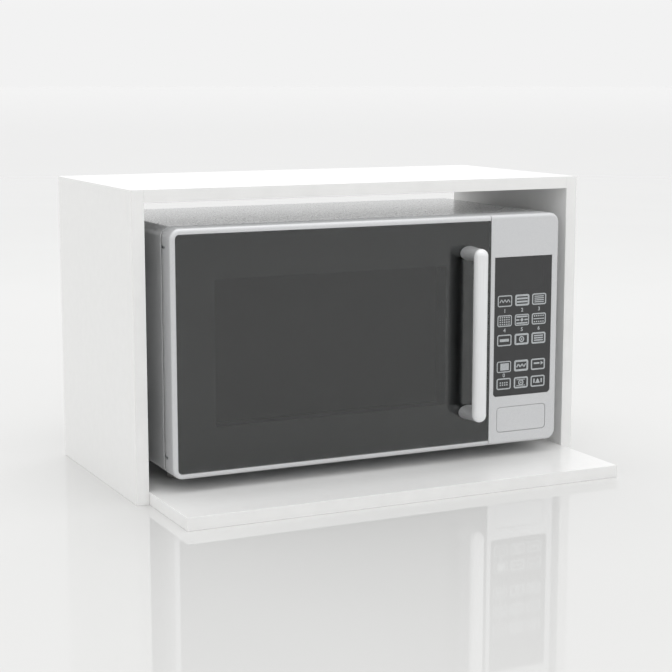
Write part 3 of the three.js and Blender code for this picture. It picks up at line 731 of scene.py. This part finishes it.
# %% Places on the door
frame_x, frame_y, frame_z = spans("door_frame")
glass_x, glass_y, glass_z = spans("door_glass")
pan_x = spans("door_pan")[0]
screen_x, screen_y, screen_z = spans("window_screen")
hinge = (middle(spans("hinge_pin_lower")[0]), middle(spans("hinge_pin_lower")[1]))
GLASS_CORNER = 5.0
ARM_Z = (21.6, 268.0)
ARM = 2.4
ARM_ROOM = 0.5
BARREL = 6.4
PIN_BORE = 2.6
PIN_REACH = 13
SCREEN_LAP = 6.0
WEB_BACK = 8.7
PAN_ROOM = 4.5
LATCH_WALL = 5.5
END_WALL = 8
window_x, window_z = (grown(span, -SCREEN_LAP) for span in (screen_x, screen_z))
print("window x", [round(v, 1) for v in window_x], "z", [round(v, 1) for v in window_z])

# %% Door frame
seat_x = (glass_x[0] - SMALL, frame_x[1] + 20)
past_left, past_back = frame_x[0] - 1, frame_y[1] + 1
swing = rod("z", hinge, grown(frame_z, 2), hinge[0] - frame_x[0], 96)
swing_edge = carve(block((past_left, hinge[0]), (hinge[1], past_back), grown(frame_z, 1)), swing)
arms_z = [grown((z, z + ARM), ARM_ROOM) for z in ARM_Z]
hollow_x = (pan_x[0] - PAN_ROOM, frame_x[1] - LATCH_WALL)
arm_x = (past_left, hollow_x[0] + 0.1)
arm_slots = [block(arm_x, (hinge[1] - BARREL, past_back), span) for span in arms_z]
pin_bores = [rod("z", hinge, grown((z + ARM / 2, z + ARM / 2), PIN_REACH), PIN_BORE) for z in ARM_Z]
door_frame = carve(
    front_half("door_frame", "left"),
    slab(seat_x, (-1, glass_y[1] + SMALL), grown(glass_z, SMALL), GLASS_CORNER + SMALL, right=False),
    block(window_x, (0, WEB_BACK + 1), window_z),
    block(hollow_x, (WEB_BACK, past_back), grown(frame_z, -END_WALL)),
    swing_edge,
    *arm_slots,
    *pin_bores,
)
keep_piece("door_frame_shell", door_frame, "door_frame", "silver_plastic", arris=0.25)
print("hinge axis", [round(v, 1) for v in hinge])

# %% [markdown]
# ## The door's glass
# The pane's edge is ground and polished round. The black border is a separate thin layer behind it, because
# that is how it is made, and because the gap between the two is what doubles the reflections. A black
# moulded surround lines the window behind the glass, down to the screen.

# %% Glass pane, printed border and window surround
PRINT_LAP = 1.2
PRINT_THICK = 0.12
pane = slab(glass_x, glass_y, glass_z, GLASS_CORNER, right=False)
keep_piece("door_glass_pane", pane, "door_glass", "black_glass", arris=0.4)
enamel_y = (glass_y[1] + 0.05, glass_y[1] + 0.05 + PRINT_THICK)
enamel_x = (glass_x[0] + 0.4, glass_x[1] - 0.2)
enamel = slab(enamel_x, enamel_y, grown(glass_z, -0.4), 4.8, right=False)
print_z = (window_z[0] + 1.6, window_z[1] - PRINT_LAP)
enamel = carve(enamel, slab(grown(window_x, -PRINT_LAP), (0, 10), print_z, 1.5))
keep_piece("door_glass_border", enamel, "door_glass", "enamel_print", replaces=False)


def window_ring(grow, wall, y, radius):
    """A frame round the window: its opening is the window grown by a margin, its bars are a wall thick."""
    ring_x, ring_z = (grown(span, grow) for span in (window_x, window_z))
    outer_x, outer_z = (grown(span, wall) for span in (ring_x, ring_z))
    opening = slab(ring_x, grown(y, 1), ring_z, radius)
    return carve(slab(outer_x, y, outer_z, radius + wall), opening)


lining = window_ring(-1.0, 0.9, (enamel_y[1] + 0.1, screen_y[0] - 0.1), 1.0)
keep_piece(
    "window_surround", lining, "door_frame", "black_plastic", arris=0.2, replaces=False
)
print("pane", round(glass_x[1] - glass_x[0], 1), "x", round(glass_z[1] - glass_z[0], 1), "mm")

# %% [markdown]
# ## The handle
# The handle is a straight round bar with domed ends. It stands on two short legs, which widen to a foot on
# the glass, so that a pull at an angle doesn't rock them. The feet reach 1 mm past the bar's ends. The bar
# is turned from its outline. Each leg is a rod, narrowed at its neck and widened at its foot, and its neck
# ends inside the bar.

# %% Door handle
BAR = 8.8  # the bar's radius
NECK = (8.2, 7.4)  # half a leg's width and height inside the bar
FOOT = (12.5, 8.8)  # the same on the glass
LEG_INSET = 7.8
handle_x, handle_y, handle_z = spans("door_handle")
bar_x, bar_y = middle(handle_x), handle_y[0] + BAR
angles = [math.radians(7.5 * i) for i in range(13)]
dome = [(BAR * math.sin(angle), BAR * (1 - math.cos(angle))) for angle in angles]
legs_z = (handle_z[0] + FOOT[1], handle_z[1] - FOOT[1])
outline = [(radius, legs_z[0] - LEG_INSET + rise) for radius, rise in dome]
outline += [(radius, legs_z[1] + LEG_INSET - rise) for radius, rise in reversed(dome)]
keep_piece("door_handle_bar", turned(outline, (bar_x, bar_y)), "door_handle", "handle_metal", smooth=50)
legs = []
for leg_z in legs_z:
    leg = rod("y", (0, 0), (bar_y, handle_y[1]), 1, 64)
    for vert in leg.verts:
        wide, high = FOOT if vert.co.y > middle((bar_y, handle_y[1])) else NECK
        vert.co = (bar_x + vert.co.x * wide, vert.co.y, leg_z + vert.co.z * high)
    legs.append(leg)
both_legs = gathered(*legs)
keep_piece("door_handle_legs", both_legs, "door_handle", "leg_metal", replaces=False)
print("legs at z", [round(v, 1) for v in legs_z])

# %% [markdown]
# ## Behind the glass
# The screen sits in a pressed steel pan, and a grained black cover closes the door from inside. The packed
# shapes are right, so these are eased copies. Only the lip that frames the cover's window is new.

# %% Screen, pan, inner cover, hinges and latch
cover_y = spans("door_inner_cover")[1]
eased_copy("window_screen", "window_screen", 0.1)
eased_copy("door_pan", "zinc_steel", 0.15)
eased_copy("door_inner_cover", "black_plastic", 0.4)
lip = window_ring(0.5, 4, (cover_y[1] - 0.5, cover_y[1] + 0.35), 2)
keep_piece("inner_cover_lip", lip, "door_inner_cover", "black_plastic", arris=0.3, replaces=False)
for node in ("hinge_bracket_lower", "hinge_bracket_upper", "hinge_pin_lower", "hinge_pin_upper"):
    eased_copy(node, "zinc_steel", 0.2)
for node in ("latch_hooks", "latch_bracket"):
    eased_copy(node, "cream_plastic", 0.3)
print("the inner cover's back is at y", round(cover_y[1], 1))

# %% [markdown]
# ## The latch's spring
# A spring is spun as well: a small circle that rises a little at every step. It is left free of the bodies.

# %% Latch spring
WIRE = 0.5
TURNS = 9
STEPS = 20
spring_x, spring_y, spring_z = spans("latch_spring")
coil = (spring_x[1] - spring_x[0]) / 2 - WIRE
rise = (spring_z[1] - spring_z[0] - 2 * WIRE) / (TURNS * STEPS)
bm = bmesh.new()
bmesh.ops.create_circle(bm, cap_ends=True, segments=8, radius=WIRE)
bmesh.ops.rotate(bm, matrix=Matrix.Rotation(math.pi / 2, 3, "X"), verts=bm.verts)
bmesh.ops.translate(bm, vec=(coil, 0, 0), verts=bm.verts)
turn = {"cent": (0, 0, 0), "axis": (0, 0, 1), "angle": 2 * math.pi * TURNS, "steps": TURNS * STEPS}
bmesh.ops.spin(bm, geom=bm.verts[:] + bm.edges[:] + bm.faces[:], dvec=(0, 0, rise), **turn)
bmesh.ops.recalc_face_normals(bm, faces=bm.faces)
bmesh.ops.translate(bm, vec=(middle(spring_x), middle(spring_y), spring_z[0] + WIRE), verts=bm.verts)
print("spring from z", [round(f(v.co.z for v in bm.verts), 1) for f in (min, max)])
spring = keep_piece("latch_spring_coil", bm, "latch_spring", "zinc_steel", smooth=60, rides=False)
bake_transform(spring)

# %% [markdown]
# ## The control fascia
# The fascia is the other half of the front. It is hollow behind, with a shallow recess for the keypad film,
# a window for the display and a hole for the push button. The film's two lower corners are cut off at 45
# degrees, and so are the recess's.

# %% Fascia
fascia_x, fascia_y, fascia_z = spans("control_fascia")
film_x, film_y, film_z = spans("keypad_panel")
key_x, key_y, key_z = spans("press_key")
WALL = 4.5
SIDE_WALL = 3.0
CHAMFER = 3.0
KEY_GAP = 0.4
KEY_CORNER = 4.6
DISPLAY_GAP = 0.6


def film_shape(margin, y):
    """The keypad film's outline, grown by a margin."""
    x, z = (grown(span, margin) for span in (film_x, film_z))
    bm = block(x, y, z)
    low_corners = edges_where(bm, lambda co: co.z < middle(z))
    low_corners = [edge for edge in low_corners if abs(edge.verts[0].co.y - edge.verts[1].co.y) > HAIR]
    return round_off(bm, low_corners, CHAMFER, segments=1)


inside_x, inside_z = (grown(span, -SIDE_WALL) for span in (fascia_x, fascia_z))
hole_x, hole_z = (grown(span, KEY_GAP) for span in (key_x, key_z))
display_x, _, display_z = (grown(span, DISPLAY_GAP) for span in spans("display_module"))
fascia = carve(
    front_half("control_fascia", "right"),
    slab(inside_x, (WALL, fascia_y[1] + 1), inside_z, CORNER - SIDE_WALL, left=False),
    film_shape(SMALL, (-1, film_y[1] + SMALL)),
    block(display_x, (0, WALL + 1), display_z),
    slab(hole_x, (-1, WALL + 1), hole_z, KEY_CORNER + KEY_GAP),
)
keep_piece("control_fascia_shell", fascia, "control_fascia", "silver_plastic", arris=0.25)
print("fascia", round(fascia_x[1] - fascia_x[0], 1), "mm wide")

# %% [markdown]
# ## The push button
# A flat button with round corners and a softly rounded rim. A line of shadow all round sets it off.

# %% Push button
button = slab(key_x, key_y, key_z, KEY_CORNER)
round_off(button, edges_where(button, lambda co: abs(co.y - key_y[0]) < HAIR), 0.8)
keep_piece("press_key_cap", button, "press_key", "silver_plastic", arris=0.2)
print("button", round(key_x[1] - key_x[0], 1), "x", round(key_z[1] - key_z[0], 1), "mm")

# %% [markdown]
# ## The keypad
# The film lies in its recess with a hair's edge all round. The display's window is a glossy patch at its
# top.

# %% Keypad film and display window
keep_piece("keypad_film", film_shape(0, film_y), "keypad_panel", "black_film", arris=0.15)
LENS_RIGHT = 240.5
LENS_BOTTOM = 196.0
LENS_MARGIN = 1.2
lens_y = (film_y[0] - 0.03, film_y[0] + 0.02)
lens = slab((film_x[0] + LENS_MARGIN, LENS_RIGHT), lens_y, (LENS_BOTTOM, film_z[1] - LENS_MARGIN), 0.5)
keep_piece("display_lens", lens, "keypad_panel", "display_window", replaces=False)
print("film", round(film_x[1] - film_x[0], 1), "x", round(film_z[1] - film_z[0], 1), "mm")

# %% [markdown]
# ## The keys
# Fifteen keys are printed as outlines in five rows of three, with a gap after the third row, and plain
# digits stand under three of the rows. The signs in the keys are generic marks: bars, dots, rings and
# arrows. Some outlines are bolder than others. A sign is drawn flat, then stood up, and an extrusion gives
# it the ink's thickness.

# %% Flat shapes for the print
LINE = 1.3


def outlined(bm, line):
    """Leaves only a line round a flat shape. With no line the shape stays whole."""
    if line:
        whole = bm.faces[:]
        bmesh.ops.inset_region(bm, faces=whole, thickness=line, use_boundary=True, use_even_offset=True)
        bmesh.ops.delete(bm, geom=whole, context="FACES")
    return bm


def patch(width, height, corner=0.0, line=0.0, tilt=0.0):
    """A flat rectangle, perhaps with round corners, perhaps only its outline, perhaps turned."""
    bm = bmesh.new()
    bmesh.ops.create_grid(bm, x_segments=1, y_segments=1, size=0.5)
    bmesh.ops.scale(bm, vec=(width, height, 1), verts=bm.verts)
    if corner:
        settings = {"segments": 4, "profile": 0.5, "affect": "VERTICES", "material": -1}
        bmesh.ops.bevel(bm, geom=bm.verts[:], offset=corner, offset_type="OFFSET", **settings)
    bmesh.ops.rotate(bm, matrix=Matrix.Rotation(math.radians(tilt), 3, "Z"), verts=bm.verts)
    return outlined(bm, line)


def disc(radius, sides=24, line=0.0, tilt=0.0):
    """A flat disc, or a triangle or a square when it has so few sides."""
    bm = bmesh.new()
    bmesh.ops.create_circle(bm, cap_ends=True, segments=sides, radius=radius)
    bmesh.ops.rotate(bm, matrix=Matrix.Rotation(math.radians(tilt), 3, "Z"), verts=bm.verts)
    return outlined(bm, line)


print("a bar is", LINE, "mm thick")

# %% Ink
INK_Y = (film_y[0] - 0.07, film_y[0] + 0.02)


def printed(bm, x, z):
    """A flat shape in X and Y, stood up to face the front with the ink's thickness."""
    made = bmesh.ops.extrude_face_region(bm, geom=bm.faces[:])["geom"]
    raised = [part for part in made if isinstance(part, bmesh.types.BMVert)]
    bmesh.ops.translate(bm, vec=(0, 0, INK_Y[1] - INK_Y[0]), verts=raised)
    bmesh.ops.recalc_face_normals(bm, faces=bm.faces)
    stand = Matrix.Translation((x, INK_Y[1], z)) @ Matrix.Rotation(math.pi / 2, 4, "X")
    bmesh.ops.transform(bm, matrix=stand, verts=bm.verts)
    return bm


print("ink stands", round(film_y[0] - INK_Y[0], 2), "mm proud")


# %% Marks
def bars(count, width, step=0.0, line=LINE):
    """Level bars, one above the other."""
    return [(patch(width, line), 0, (i - (count - 1) / 2) * step) for i in range(count)]


def dots(columns, rows, rise=2.9):
    """Rows of small dots."""
    places = [(i - (columns - 1) / 2, j - (rows - 1) / 2) for i in range(columns) for j in range(rows)]
    return [(patch(1.9, 1.7), i * 3.2, j * rise) for i, j in places]


def zigzag(count, step, width=1.2):
    """Short slanted strokes that lean left and right in turn."""
    strokes = [patch(width, 4.6, tilt=32 if i % 2 else -32) for i in range(count)]
    return [(stroke, (i - (count - 1) / 2) * step, 0) for i, stroke in enumerate(strokes)]


def target():
    """A ring with a dot in it."""
    return [(disc(3.9, line=1.5), 0, 0), (disc(1.2), 0, 0)]


print("marks: bars, dots, zigzag, target")

# %% Signs
WINGED = [(disc(2.6, 4), 0, 0), (patch(5, 1.9), -6.2, 0), (patch(5, 1.9), 6.2, 0)]
ARROW = [(patch(8.5, 2.2), -2, 1.2), (disc(2.8, 3, tilt=-90), 5.4, 1.2)]
BLOCK = [(patch(12.5, 9), 1, 0)]
ARCH = [(disc(4.2, 3), 0, -0.5), (patch(2, 5.5), -5.5, 0.5), (patch(2, 5.5), 5.5, 0.5)]
SIGNS = (
    (zigzag(6, 2.5), bars(2, 15.6, 4, 2.2), bars(4, 14, 2.4)),
    (dots(5, 4), WINGED + bars(2, 16.5, 8.2, 1.9), bars(1, 16) + dots(5, 2, rise=7.4)),
    (bars(1, 13.5, line=3.6), target(), bars(3, 13.5, 2.9, 1.7)),
    (BLOCK, zigzag(5, 2.7, 1.7), ARROW),
    (dots(4, 2), target() + bars(2, 13, 7.6, 0.9), ARCH),
)
KEY_LINES = ((1.4, 2.4, 1.6), (1.3, 1.3, 1.5), (1.5, 2.5, 2.1), (1.3, 2.6, 1.8), (1.6, 2, 1.7))
print("rows of signs:", len(SIGNS))

# %% Printed keys
KEY_X = (183.4, 208.9, 234.0)
KEY_Z = (183.5, 158.3, 133.6, 99.7, 77.8)
KEY_SIZE = (21.0, 14.5)
shapes = []
for z, row, lines in zip(KEY_Z, SIGNS, KEY_LINES):
    for x, sign, line in zip(KEY_X, row, lines):
        shapes.append(printed(patch(*KEY_SIZE, corner=2.6, line=line), x, z))
        shapes += [printed(mark, x + dx, z + dz) for mark, dx, dz in sign]
print("keys:", len(KEY_X) * len(KEY_Z), "with", len(shapes), "printed shapes")
keep_piece("keypad_print", gathered(*shapes), "keypad_panel", "print_ink", replaces=False)

# %% [markdown]
# ## The digits
# Text starts as a curve. It is turned into a mesh before it is placed, so that its place ends up in the mesh
# like any other piece's.

# %% Printed digits
DIGITS = {170.9: "123", 146.0: "456", 88.6: "0"}
DIGIT_SIZE = 6.6
DIGIT_WEIGHT = 0.16
shapes = []
for z, line in DIGITS.items():
    for x, digit in zip(KEY_X, line):
        text = bpy.data.curves.new("digit", "FONT")
        text.body = digit
        text.size = DIGIT_SIZE
        text.offset = DIGIT_WEIGHT
        text.align_x = "CENTER"
        text.align_y = "CENTER"
        helper = bpy.data.objects.new("digit", text)
        scene.collection.objects.link(helper)
        carrier = bpy.data.meshes.new_from_object(helper)
        bpy.data.objects.remove(helper)
        outline = bmesh.new()
        outline.from_mesh(carrier)
        bpy.data.meshes.remove(carrier)
        bmesh.ops.remove_doubles(outline, verts=outline.verts, dist=1e-4)
        shapes.append(printed(outline, x, z))
print("digits:", len(shapes))
keep_piece("keypad_digits", gathered(*shapes), "keypad_panel", "print_ink", replaces=False)

# %% [markdown]
# ## The casing
# The casing is one sheet of steel folded over the oven: top and two sides, with short flanges under the
# edges. Slots for air are punched low on the left and in two groups on the right. Punched slots have round
# ends, which a bevel of each cutter's short edges gives.


# %% Slots
SLOT_PITCH = 9
SLOT_HEIGHT = 3.5


def level_slot(x, y, z, through):
    """A cutter for a level slot with round ends, that goes through along axis 0 or 1."""
    bm = block(x, y, z)
    ends = [edge for edge in bm.edges if abs(edge.verts[0].co[through] - edge.verts[1].co[through]) > HAIR]
    return round_off(bm, ends, (z[1] - z[0]) * 0.49, segments=5)


def side_slots(wall, y, first_z, count):
    """Cutters for a column of slots in a side wall."""
    lows = [first_z + SLOT_PITCH * i for i in range(count)]
    return [level_slot(grown((wall, wall), 5), y, (low, low + SLOT_HEIGHT), 0) for low in lows]


print("slots", SLOT_HEIGHT, "mm high, every", SLOT_PITCH, "mm")

# %% Folded casing
SHEET = 1.0
case_x, case_y, case_z = spans("outer_casing")
inner_x, inner_z = (grown(span, -SHEET) for span in (case_x, case_z))
slots = gathered(
    *side_slots(case_x[1], y=(60, 100), first_z=50, count=6),
    *side_slots(case_x[1], y=(190, 240), first_z=140, count=7),
    *side_slots(case_x[0], y=(190, 240), first_z=60, count=7),
)
open_underneath = block(grown(case_x, -CORNER), (0, 300), (-1, 2))
casing = carve(
    slab(case_x, case_y, case_z, CORNER),
    slab(inner_x, grown(case_y, 1), inner_z, CORNER - SHEET),
    open_underneath,
    slots,
)
keep_piece("outer_casing_sheet", casing, "outer_casing", "silver_paint", arris=0.2)
print("casing", [round(high - low, 1) for low, high in (case_x, case_y, case_z)], "mm")

# %% [markdown]
# ## The rear panel
# A flat zinc-plated panel closes the back. Slots in a circle let the fan's air out, a bush sits in the lower
# corner, and six cross-head screws hold the panel.


# %% Rear panel and its screws
def cross_head(x, z, y, radius):
    """A domed screw head that faces the back, with a cross recess."""
    profile = [(0, y), (radius, y), (radius, y + 0.8), (0.75 * radius, y + 1.6)]
    profile += [(0.4 * radius, y + 2), (0, y + 2.1)]
    deep = (y + 1.0, y + 4)
    long_x, long_z = (grown((v, v), radius * 0.55) for v in (x, z))
    thin_x, thin_z = (grown((v, v), 0.45) for v in (x, z))
    head = turned(profile, (x, z), axis="y", steps=32)
    return carve(head, block(long_x, deep, thin_z), block(thin_x, deep, long_z))


FAN_VENT = 42.0
BUSH_HOLE = 6.0
SCREW_X = (-246, -20, 248)
SCREW_Z = (14, 278)
SCREW_HEAD = 3.6
rear_x, rear_y, rear_z = spans("rear_panel")
fan = (middle(spans("fan_shroud")[0]), middle(spans("fan_shroud")[2]))
inlet_x, inlet_y, inlet_z = spans("cord_inlet")
inlet = (middle(inlet_x), middle(inlet_z))
through = grown(rear_y, 5)
fan_slots = []
for rise in range(-4 * SLOT_PITCH, 5 * SLOT_PITCH, SLOT_PITCH):
    z = fan[1] + rise
    half = math.sqrt(FAN_VENT**2 - rise**2)
    fan_slots.append(level_slot(grown((fan[0], fan[0]), half), through, grown((z, z), 2), 1))
print("rear panel with", len(fan_slots), "slots")
panel = carve(slab(rear_x, rear_y, rear_z, CORNER), gathered(*fan_slots, rod("y", inlet, through, BUSH_HOLE)))
keep_piece("rear_panel_sheet", panel, "rear_panel", "zinc_steel", arris=0.15)
screws = [cross_head(x, z, rear_y[1], SCREW_HEAD) for x in SCREW_X for z in SCREW_Z]
keep_piece("rear_screws", gathered(*screws), "rear_panel", "zinc_steel", replaces=False)

# %% [markdown]
# ## The inlet bush and the feet
# The bush is turned with a collar, a waist and a rib. The four feet are short turned cones of rubber with a
# rounded sole, pressed into the base plate.

# %% Inlet bush, base plate and feet
BORE = 3.4
WAIST = 5.7
inner, outer = inlet_y
collar = (inlet_x[1] - inlet_x[0]) / 2
bush = [(BORE, inner), (WAIST, inner), (WAIST, outer - 5.7), (collar, outer - 5.7), (collar, outer - 4.2)]
bush += [(collar - 1.5, outer - 3.4), (collar - 1, outer - 2.6), (collar - 2.5, outer - 1.4)]
bush += [(collar - 3.2, outer), (BORE, outer), (BORE, inner)]
keep_piece("cord_inlet_bush", turned(bush, inlet, axis="y"), "cord_inlet", "black_plastic", smooth=30)
eased_copy("base_plate", "zinc_steel", 0.15)
for node in ("foot_front_left", "foot_front_right", "foot_rear_left", "foot_rear_right"):
    foot_x, foot_y, (low, high) = spans(node)
    radius = (foot_x[1] - foot_x[0]) / 2
    foot = [(0, low), (radius - 2.6, low), (radius - 0.9, low + 0.7), (radius, low + 2.3)]
    foot += [(radius - 0.8, low + 6), (radius - 1.4, high - 3), (radius - 2, high), (0, high)]
    keep_piece(node + "_turned", turned(foot, (middle(foot_x), middle(foot_y))), node, "rubber", smooth=40)
print("bush", round(2 * collar, 1), "mm and feet", round(2 * radius, 1), "mm across")

# %% [markdown]
# ## The cavity
# The cavity is a drawn steel box with round corners, a flange all round its mouth, and a duct on its right
# wall where the microwaves come in behind a mica cover. Small round holes let the lamp's light through.


# %% Cavity's sizes and lamp holes
def drawn_box(x, y, z, radius):
    """A box whose edges are all round but those of its mouth."""
    bm = block(x, y, z)
    return round_off(bm, [edge for edge in bm.edges if max(v.co.y for v in edge.verts) > y[0] + 1], radius, 6)


HOLLOW = ((-221, 109), (20, 257.5), (39.5, 247.5))
DRAW = 9.0
DUCT = ((109, 128), (92, 188), (110, 232))
DUCT_SHEET = 1.2
MICA_LAP = 6
LAMP = (214, 226)
ANTENNA = (140, 205)
ANTENNA_HOLE = 12
SPINDLE_HOLE = 6
HOOK_X = (131.5, 146)
HOOK_Z = (70, 214)
liner_x, liner_y, liner_z = spans("cavity_liner")
mica_y, mica_z = spans("waveguide_cover")[1:]
tray_x, tray_y, tray_z = spans("glass_tray")
turntable = (middle(tray_x), middle(tray_y))
box_x, box_y, box_z = (grown(span, SHEET) for span in HOLLOW)
right_wall = (HOLLOW[0][1] - 4, HOLLOW[0][1] + 3)
mouth = (liner_y[0] - 2, liner_y[0] + 4)
lamp_holes = [rod("x", LAMP, right_wall, 1.5, 12)]
for circle, count in ((4.2, 6), (7.8, 12)):
    for i in range(count):
        angle = 2 * math.pi * i / count
        hole = (LAMP[0] + circle * math.cos(angle), LAMP[1] + circle * math.sin(angle))
        lamp_holes.append(rod("x", hole, right_wall, 1.3, 12))
print("lamp holes:", len(lamp_holes))

# %% Cavity liner
liner = carve(
    drawn_box(box_x, (liner_y[0], box_y[1]), box_z, DRAW + SHEET),
    slab((liner_x[0], frame_x[1] - 1), (liner_y[0], liner_y[0] + 1.2), liner_z, CORNER - 1.6, right=False),
    block(*DUCT),
    operation="UNION",
)
liner = carve(
    liner,
    drawn_box(*HOLLOW, DRAW),
    block((DUCT[0][0] + SHEET, DUCT[0][1] - DUCT_SHEET), *[grown(span, -DUCT_SHEET) for span in DUCT[1:]]),
    block(right_wall, grown(mica_y, -MICA_LAP), grown(mica_z, -MICA_LAP)),
    rod("x", ANTENNA, (DUCT[0][1] - 3, DUCT[0][1] + 1), ANTENNA_HOLE),
    rod("z", turntable, (36, 41), SPINDLE_HOLE),
    gathered(*lamp_holes),
    *[block(HOOK_X, mouth, (z - 7, z + 14)) for z in HOOK_Z],
    *[block((past_left, hinge[0] + 5), mouth, span) for span in arms_z],
)
keep_piece("cavity_liner_drawn", liner, "cavity_liner", "cavity_paint", arris=0.2)
eased_copy("waveguide_cover", "mica", 0.2)
print("cavity", [round(high - low) for low, high in HOLLOW], "mm")

# %% [markdown]
# ## The turntable
# The glass tray is pressed, with a raised rim. It rests on three rollers, whose ring is moulded with an
# axle for each. A roller is a short turned wheel with a bore, laid on its side and turned to its place on
# the ring.

# %% Glass tray
rim, floor_z = (tray_x[1] - tray_x[0]) / 2, tray_z[0]
tray = [(0, floor_z), (rim - 9, floor_z), (rim - 6.5, floor_z + 1), (rim - 1, floor_z + 5.6)]
tray += [(rim, floor_z + 7.5), (rim, floor_z + 9.2), (rim - 0.8, floor_z + 10), (rim - 2.2, floor_z + 10)]
tray += [(rim - 3, floor_z + 9.4), (rim - 7.5, floor_z + 5.6), (rim - 9.5, floor_z + 5), (0, floor_z + 5)]
keep_piece("glass_tray_pressed", turned(tray, turntable, steps=96), "glass_tray", "clear_glass", smooth=50)
print("tray", round(2 * rim), "mm across")

# %% Roller ring
axle_z = middle(spans("roller_ring")[2])
RING = (70.0, 76.0, 3.0)  # inner radius, outer radius, half the height
ORBIT = 84.0
AXLE = 2.0
CAP = 3.4
TO_ROLLER = (90, 210, 330)


def on_ring(bm, angle):
    """Turns a shape that lies along X to its angle on the turntable."""
    place = Matrix.Translation((*turntable, axle_z)) @ Matrix.Rotation(math.radians(angle), 4, "Z")
    bmesh.ops.transform(bm, matrix=place, verts=bm.verts)
    return bm


inner, outer, half = RING
hoop = [(inner, -half + 1), (inner + 1, -half), (outer - 1, -half), (outer, -half + 1), (outer, half - 1)]
hoop += [(outer - 1, half), (inner + 1, half), (inner, half - 1), (inner, -half + 1)]
axles = [on_ring(rod("x", (0, 0), (outer - 3, ORBIT + 6), AXLE, 24), angle) for angle in TO_ROLLER]
caps = [on_ring(rod("x", (0, 0), (ORBIT + 4, ORBIT + 6), CAP, 24), angle) for angle in TO_ROLLER]
ring = carve(on_ring(turned(hoop, steps=96), 0), *axles, *caps, operation="UNION")
keep_piece("roller_ring_moulded", ring, "roller_ring", "cream_plastic", smooth=40)
print("ring", 2 * outer, "mm across, with", len(TO_ROLLER), "axles")

# %% Rollers and coupler
ROLLER = (8.0, 2.4, 3.0)  # radius, bore, half the width
radius, bore, half = ROLLER
wheel = [(bore, -half), (radius - 0.6, -half), (radius, -half + 0.6), (radius, half - 0.6)]
wheel += [(radius - 0.6, half), (bore, half), (bore, -half)]
for i, angle in enumerate(TO_ROLLER):
    bm = turned(wheel, steps=40)
    lie = Matrix.Translation((ORBIT, 0, 0)) @ Matrix.Rotation(math.pi / 2, 4, "Y")
    bmesh.ops.transform(bm, matrix=lie, verts=bm.verts)
    keep_piece(f"roller_{i + 1}_turned", on_ring(bm, angle), f"roller_{i + 1}", "cream_plastic")
eased_copy("drive_coupler", "cream_plastic", 0.3)
print("rollers", 2 * radius, "mm across")

# %% [markdown]
# ## The works
# The transformer has two parts that look quite different: a stack of iron laminations, and coils of copper
# wire wound through it, with round corners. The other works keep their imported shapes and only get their
# finishes.

# %% Transformer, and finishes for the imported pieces
IRON = ((140, 232), (76, 134), (1.3, 72))
COIL = ((152, 220), (66, 144), (14, 58))
WINDOWS_X = ((154, 164), (208, 218))
windows = [block(x, (60, 150), (12, 60)) for x in WINDOWS_X]
iron = carve(block(*IRON), *windows)
keep_piece("transformer_iron", iron, "power_transformer", "laminated_iron", arris=0.4)
coil = block(*COIL)
upright = [edge for edge in coil.edges if abs(edge.verts[0].co.z - edge.verts[1].co.z) > 1]
coil = carve(round_off(coil, upright, 9, 6), block(IRON[0], grown(IRON[1], -1), (0, 80)))
keep_piece("transformer_coil", coil, "power_transformer", "copper_wire", arris=0.8, replaces=False)
kept = [name for name, node in nodes.items() if not node.hide_render]
for name in kept:
    for holder in nodes[name].material_slots:
        holder.material = finishes[node_slots[name]]
print("packed pieces kept:", ", ".join(sorted(kept)))

# %% [markdown]
# ## The studio
# The object stands on a wide, pale, glossy floor under a nearly even sky, as in a product photograph on
# white. The sky is a tenth brighter in front of the object and a little dimmer at the horizon. Seen flat, a
# glossy floor mirrors the sky, so the two run into each other without a visible horizon. The floor lies a
# hair below the object, so that their faces don't coincide. One large soft light above makes the tops
# bright.

# %% Studio floor
FLOOR_RADIUS = 60.0
tree, place = start_finish("studio_floor", "pale_lacquered_floor")
mottle = add_node(tree, "TexNoise", Vector=place, Scale=2.0)
set_surface(
    tree,
    Base_Color=add_node(tree, "ValToRGB", Fac=mottle, stops={0.3: "#d7d7d6", 0.7: "#d9d9d8"}),
    Roughness=0.03,
    IOR=1.3,
)
bm = bmesh.new()
bmesh.ops.create_circle(bm, segments=96, radius=FLOOR_RADIUS, cap_ends=True)
bmesh.ops.translate(bm, vec=(0, 0, -0.05 * MM), verts=bm.verts)
floor = new_object("studio_floor", bm)
floor.data.materials.append(finishes["studio_floor"])
print("floor", 2 * FLOOR_RADIUS, "m across")

# %% Studio light
SKY_BEHIND = 1.0
SKY_IN_FRONT = 1.1
LAMP_HEIGHT = 3.4
LAMP_SIZE = 3.0
LAMP_WATTS = 28
light = bpy.data.lights.new("overhead", "AREA")
light.size = LAMP_SIZE
light.energy = LAMP_WATTS
lamp = bpy.data.objects.new("overhead", light)
lamp.location = (0, 0, LAMP_HEIGHT)
scene.collection.objects.link(lamp)
scene.world = bpy.data.worlds.new("studio")
scene.world.use_nodes = True
tree = scene.world.node_tree
direction = add_node(tree, "TexCoord", out="Generated")
behind = add_node(tree, "SeparateXYZ", out="Y", Vector=direction)
above = add_node(tree, "SeparateXYZ", out="Z", Vector=direction)
ends = {"From_Min": -0.4, "From_Max": 0.3, "To_Min": SKY_IN_FRONT, "To_Max": SKY_BEHIND}
sky = {"Color": add_node(tree, "ValToRGB", Fac=above, stops={0.035: "#f2f2f2", 0.13: "#ffffff"})}
sky["Strength"] = add_node(tree, "MapRange", Value=behind, **ends)
set_sockets(tree, tree.nodes["Background"], sky)
scene.view_settings.view_transform = "Standard"
scene.view_settings.look = "None"
scene.view_settings.exposure = 0
scene.view_settings.gamma = 1
print("sky", SKY_BEHIND, "to", SKY_IN_FRONT)
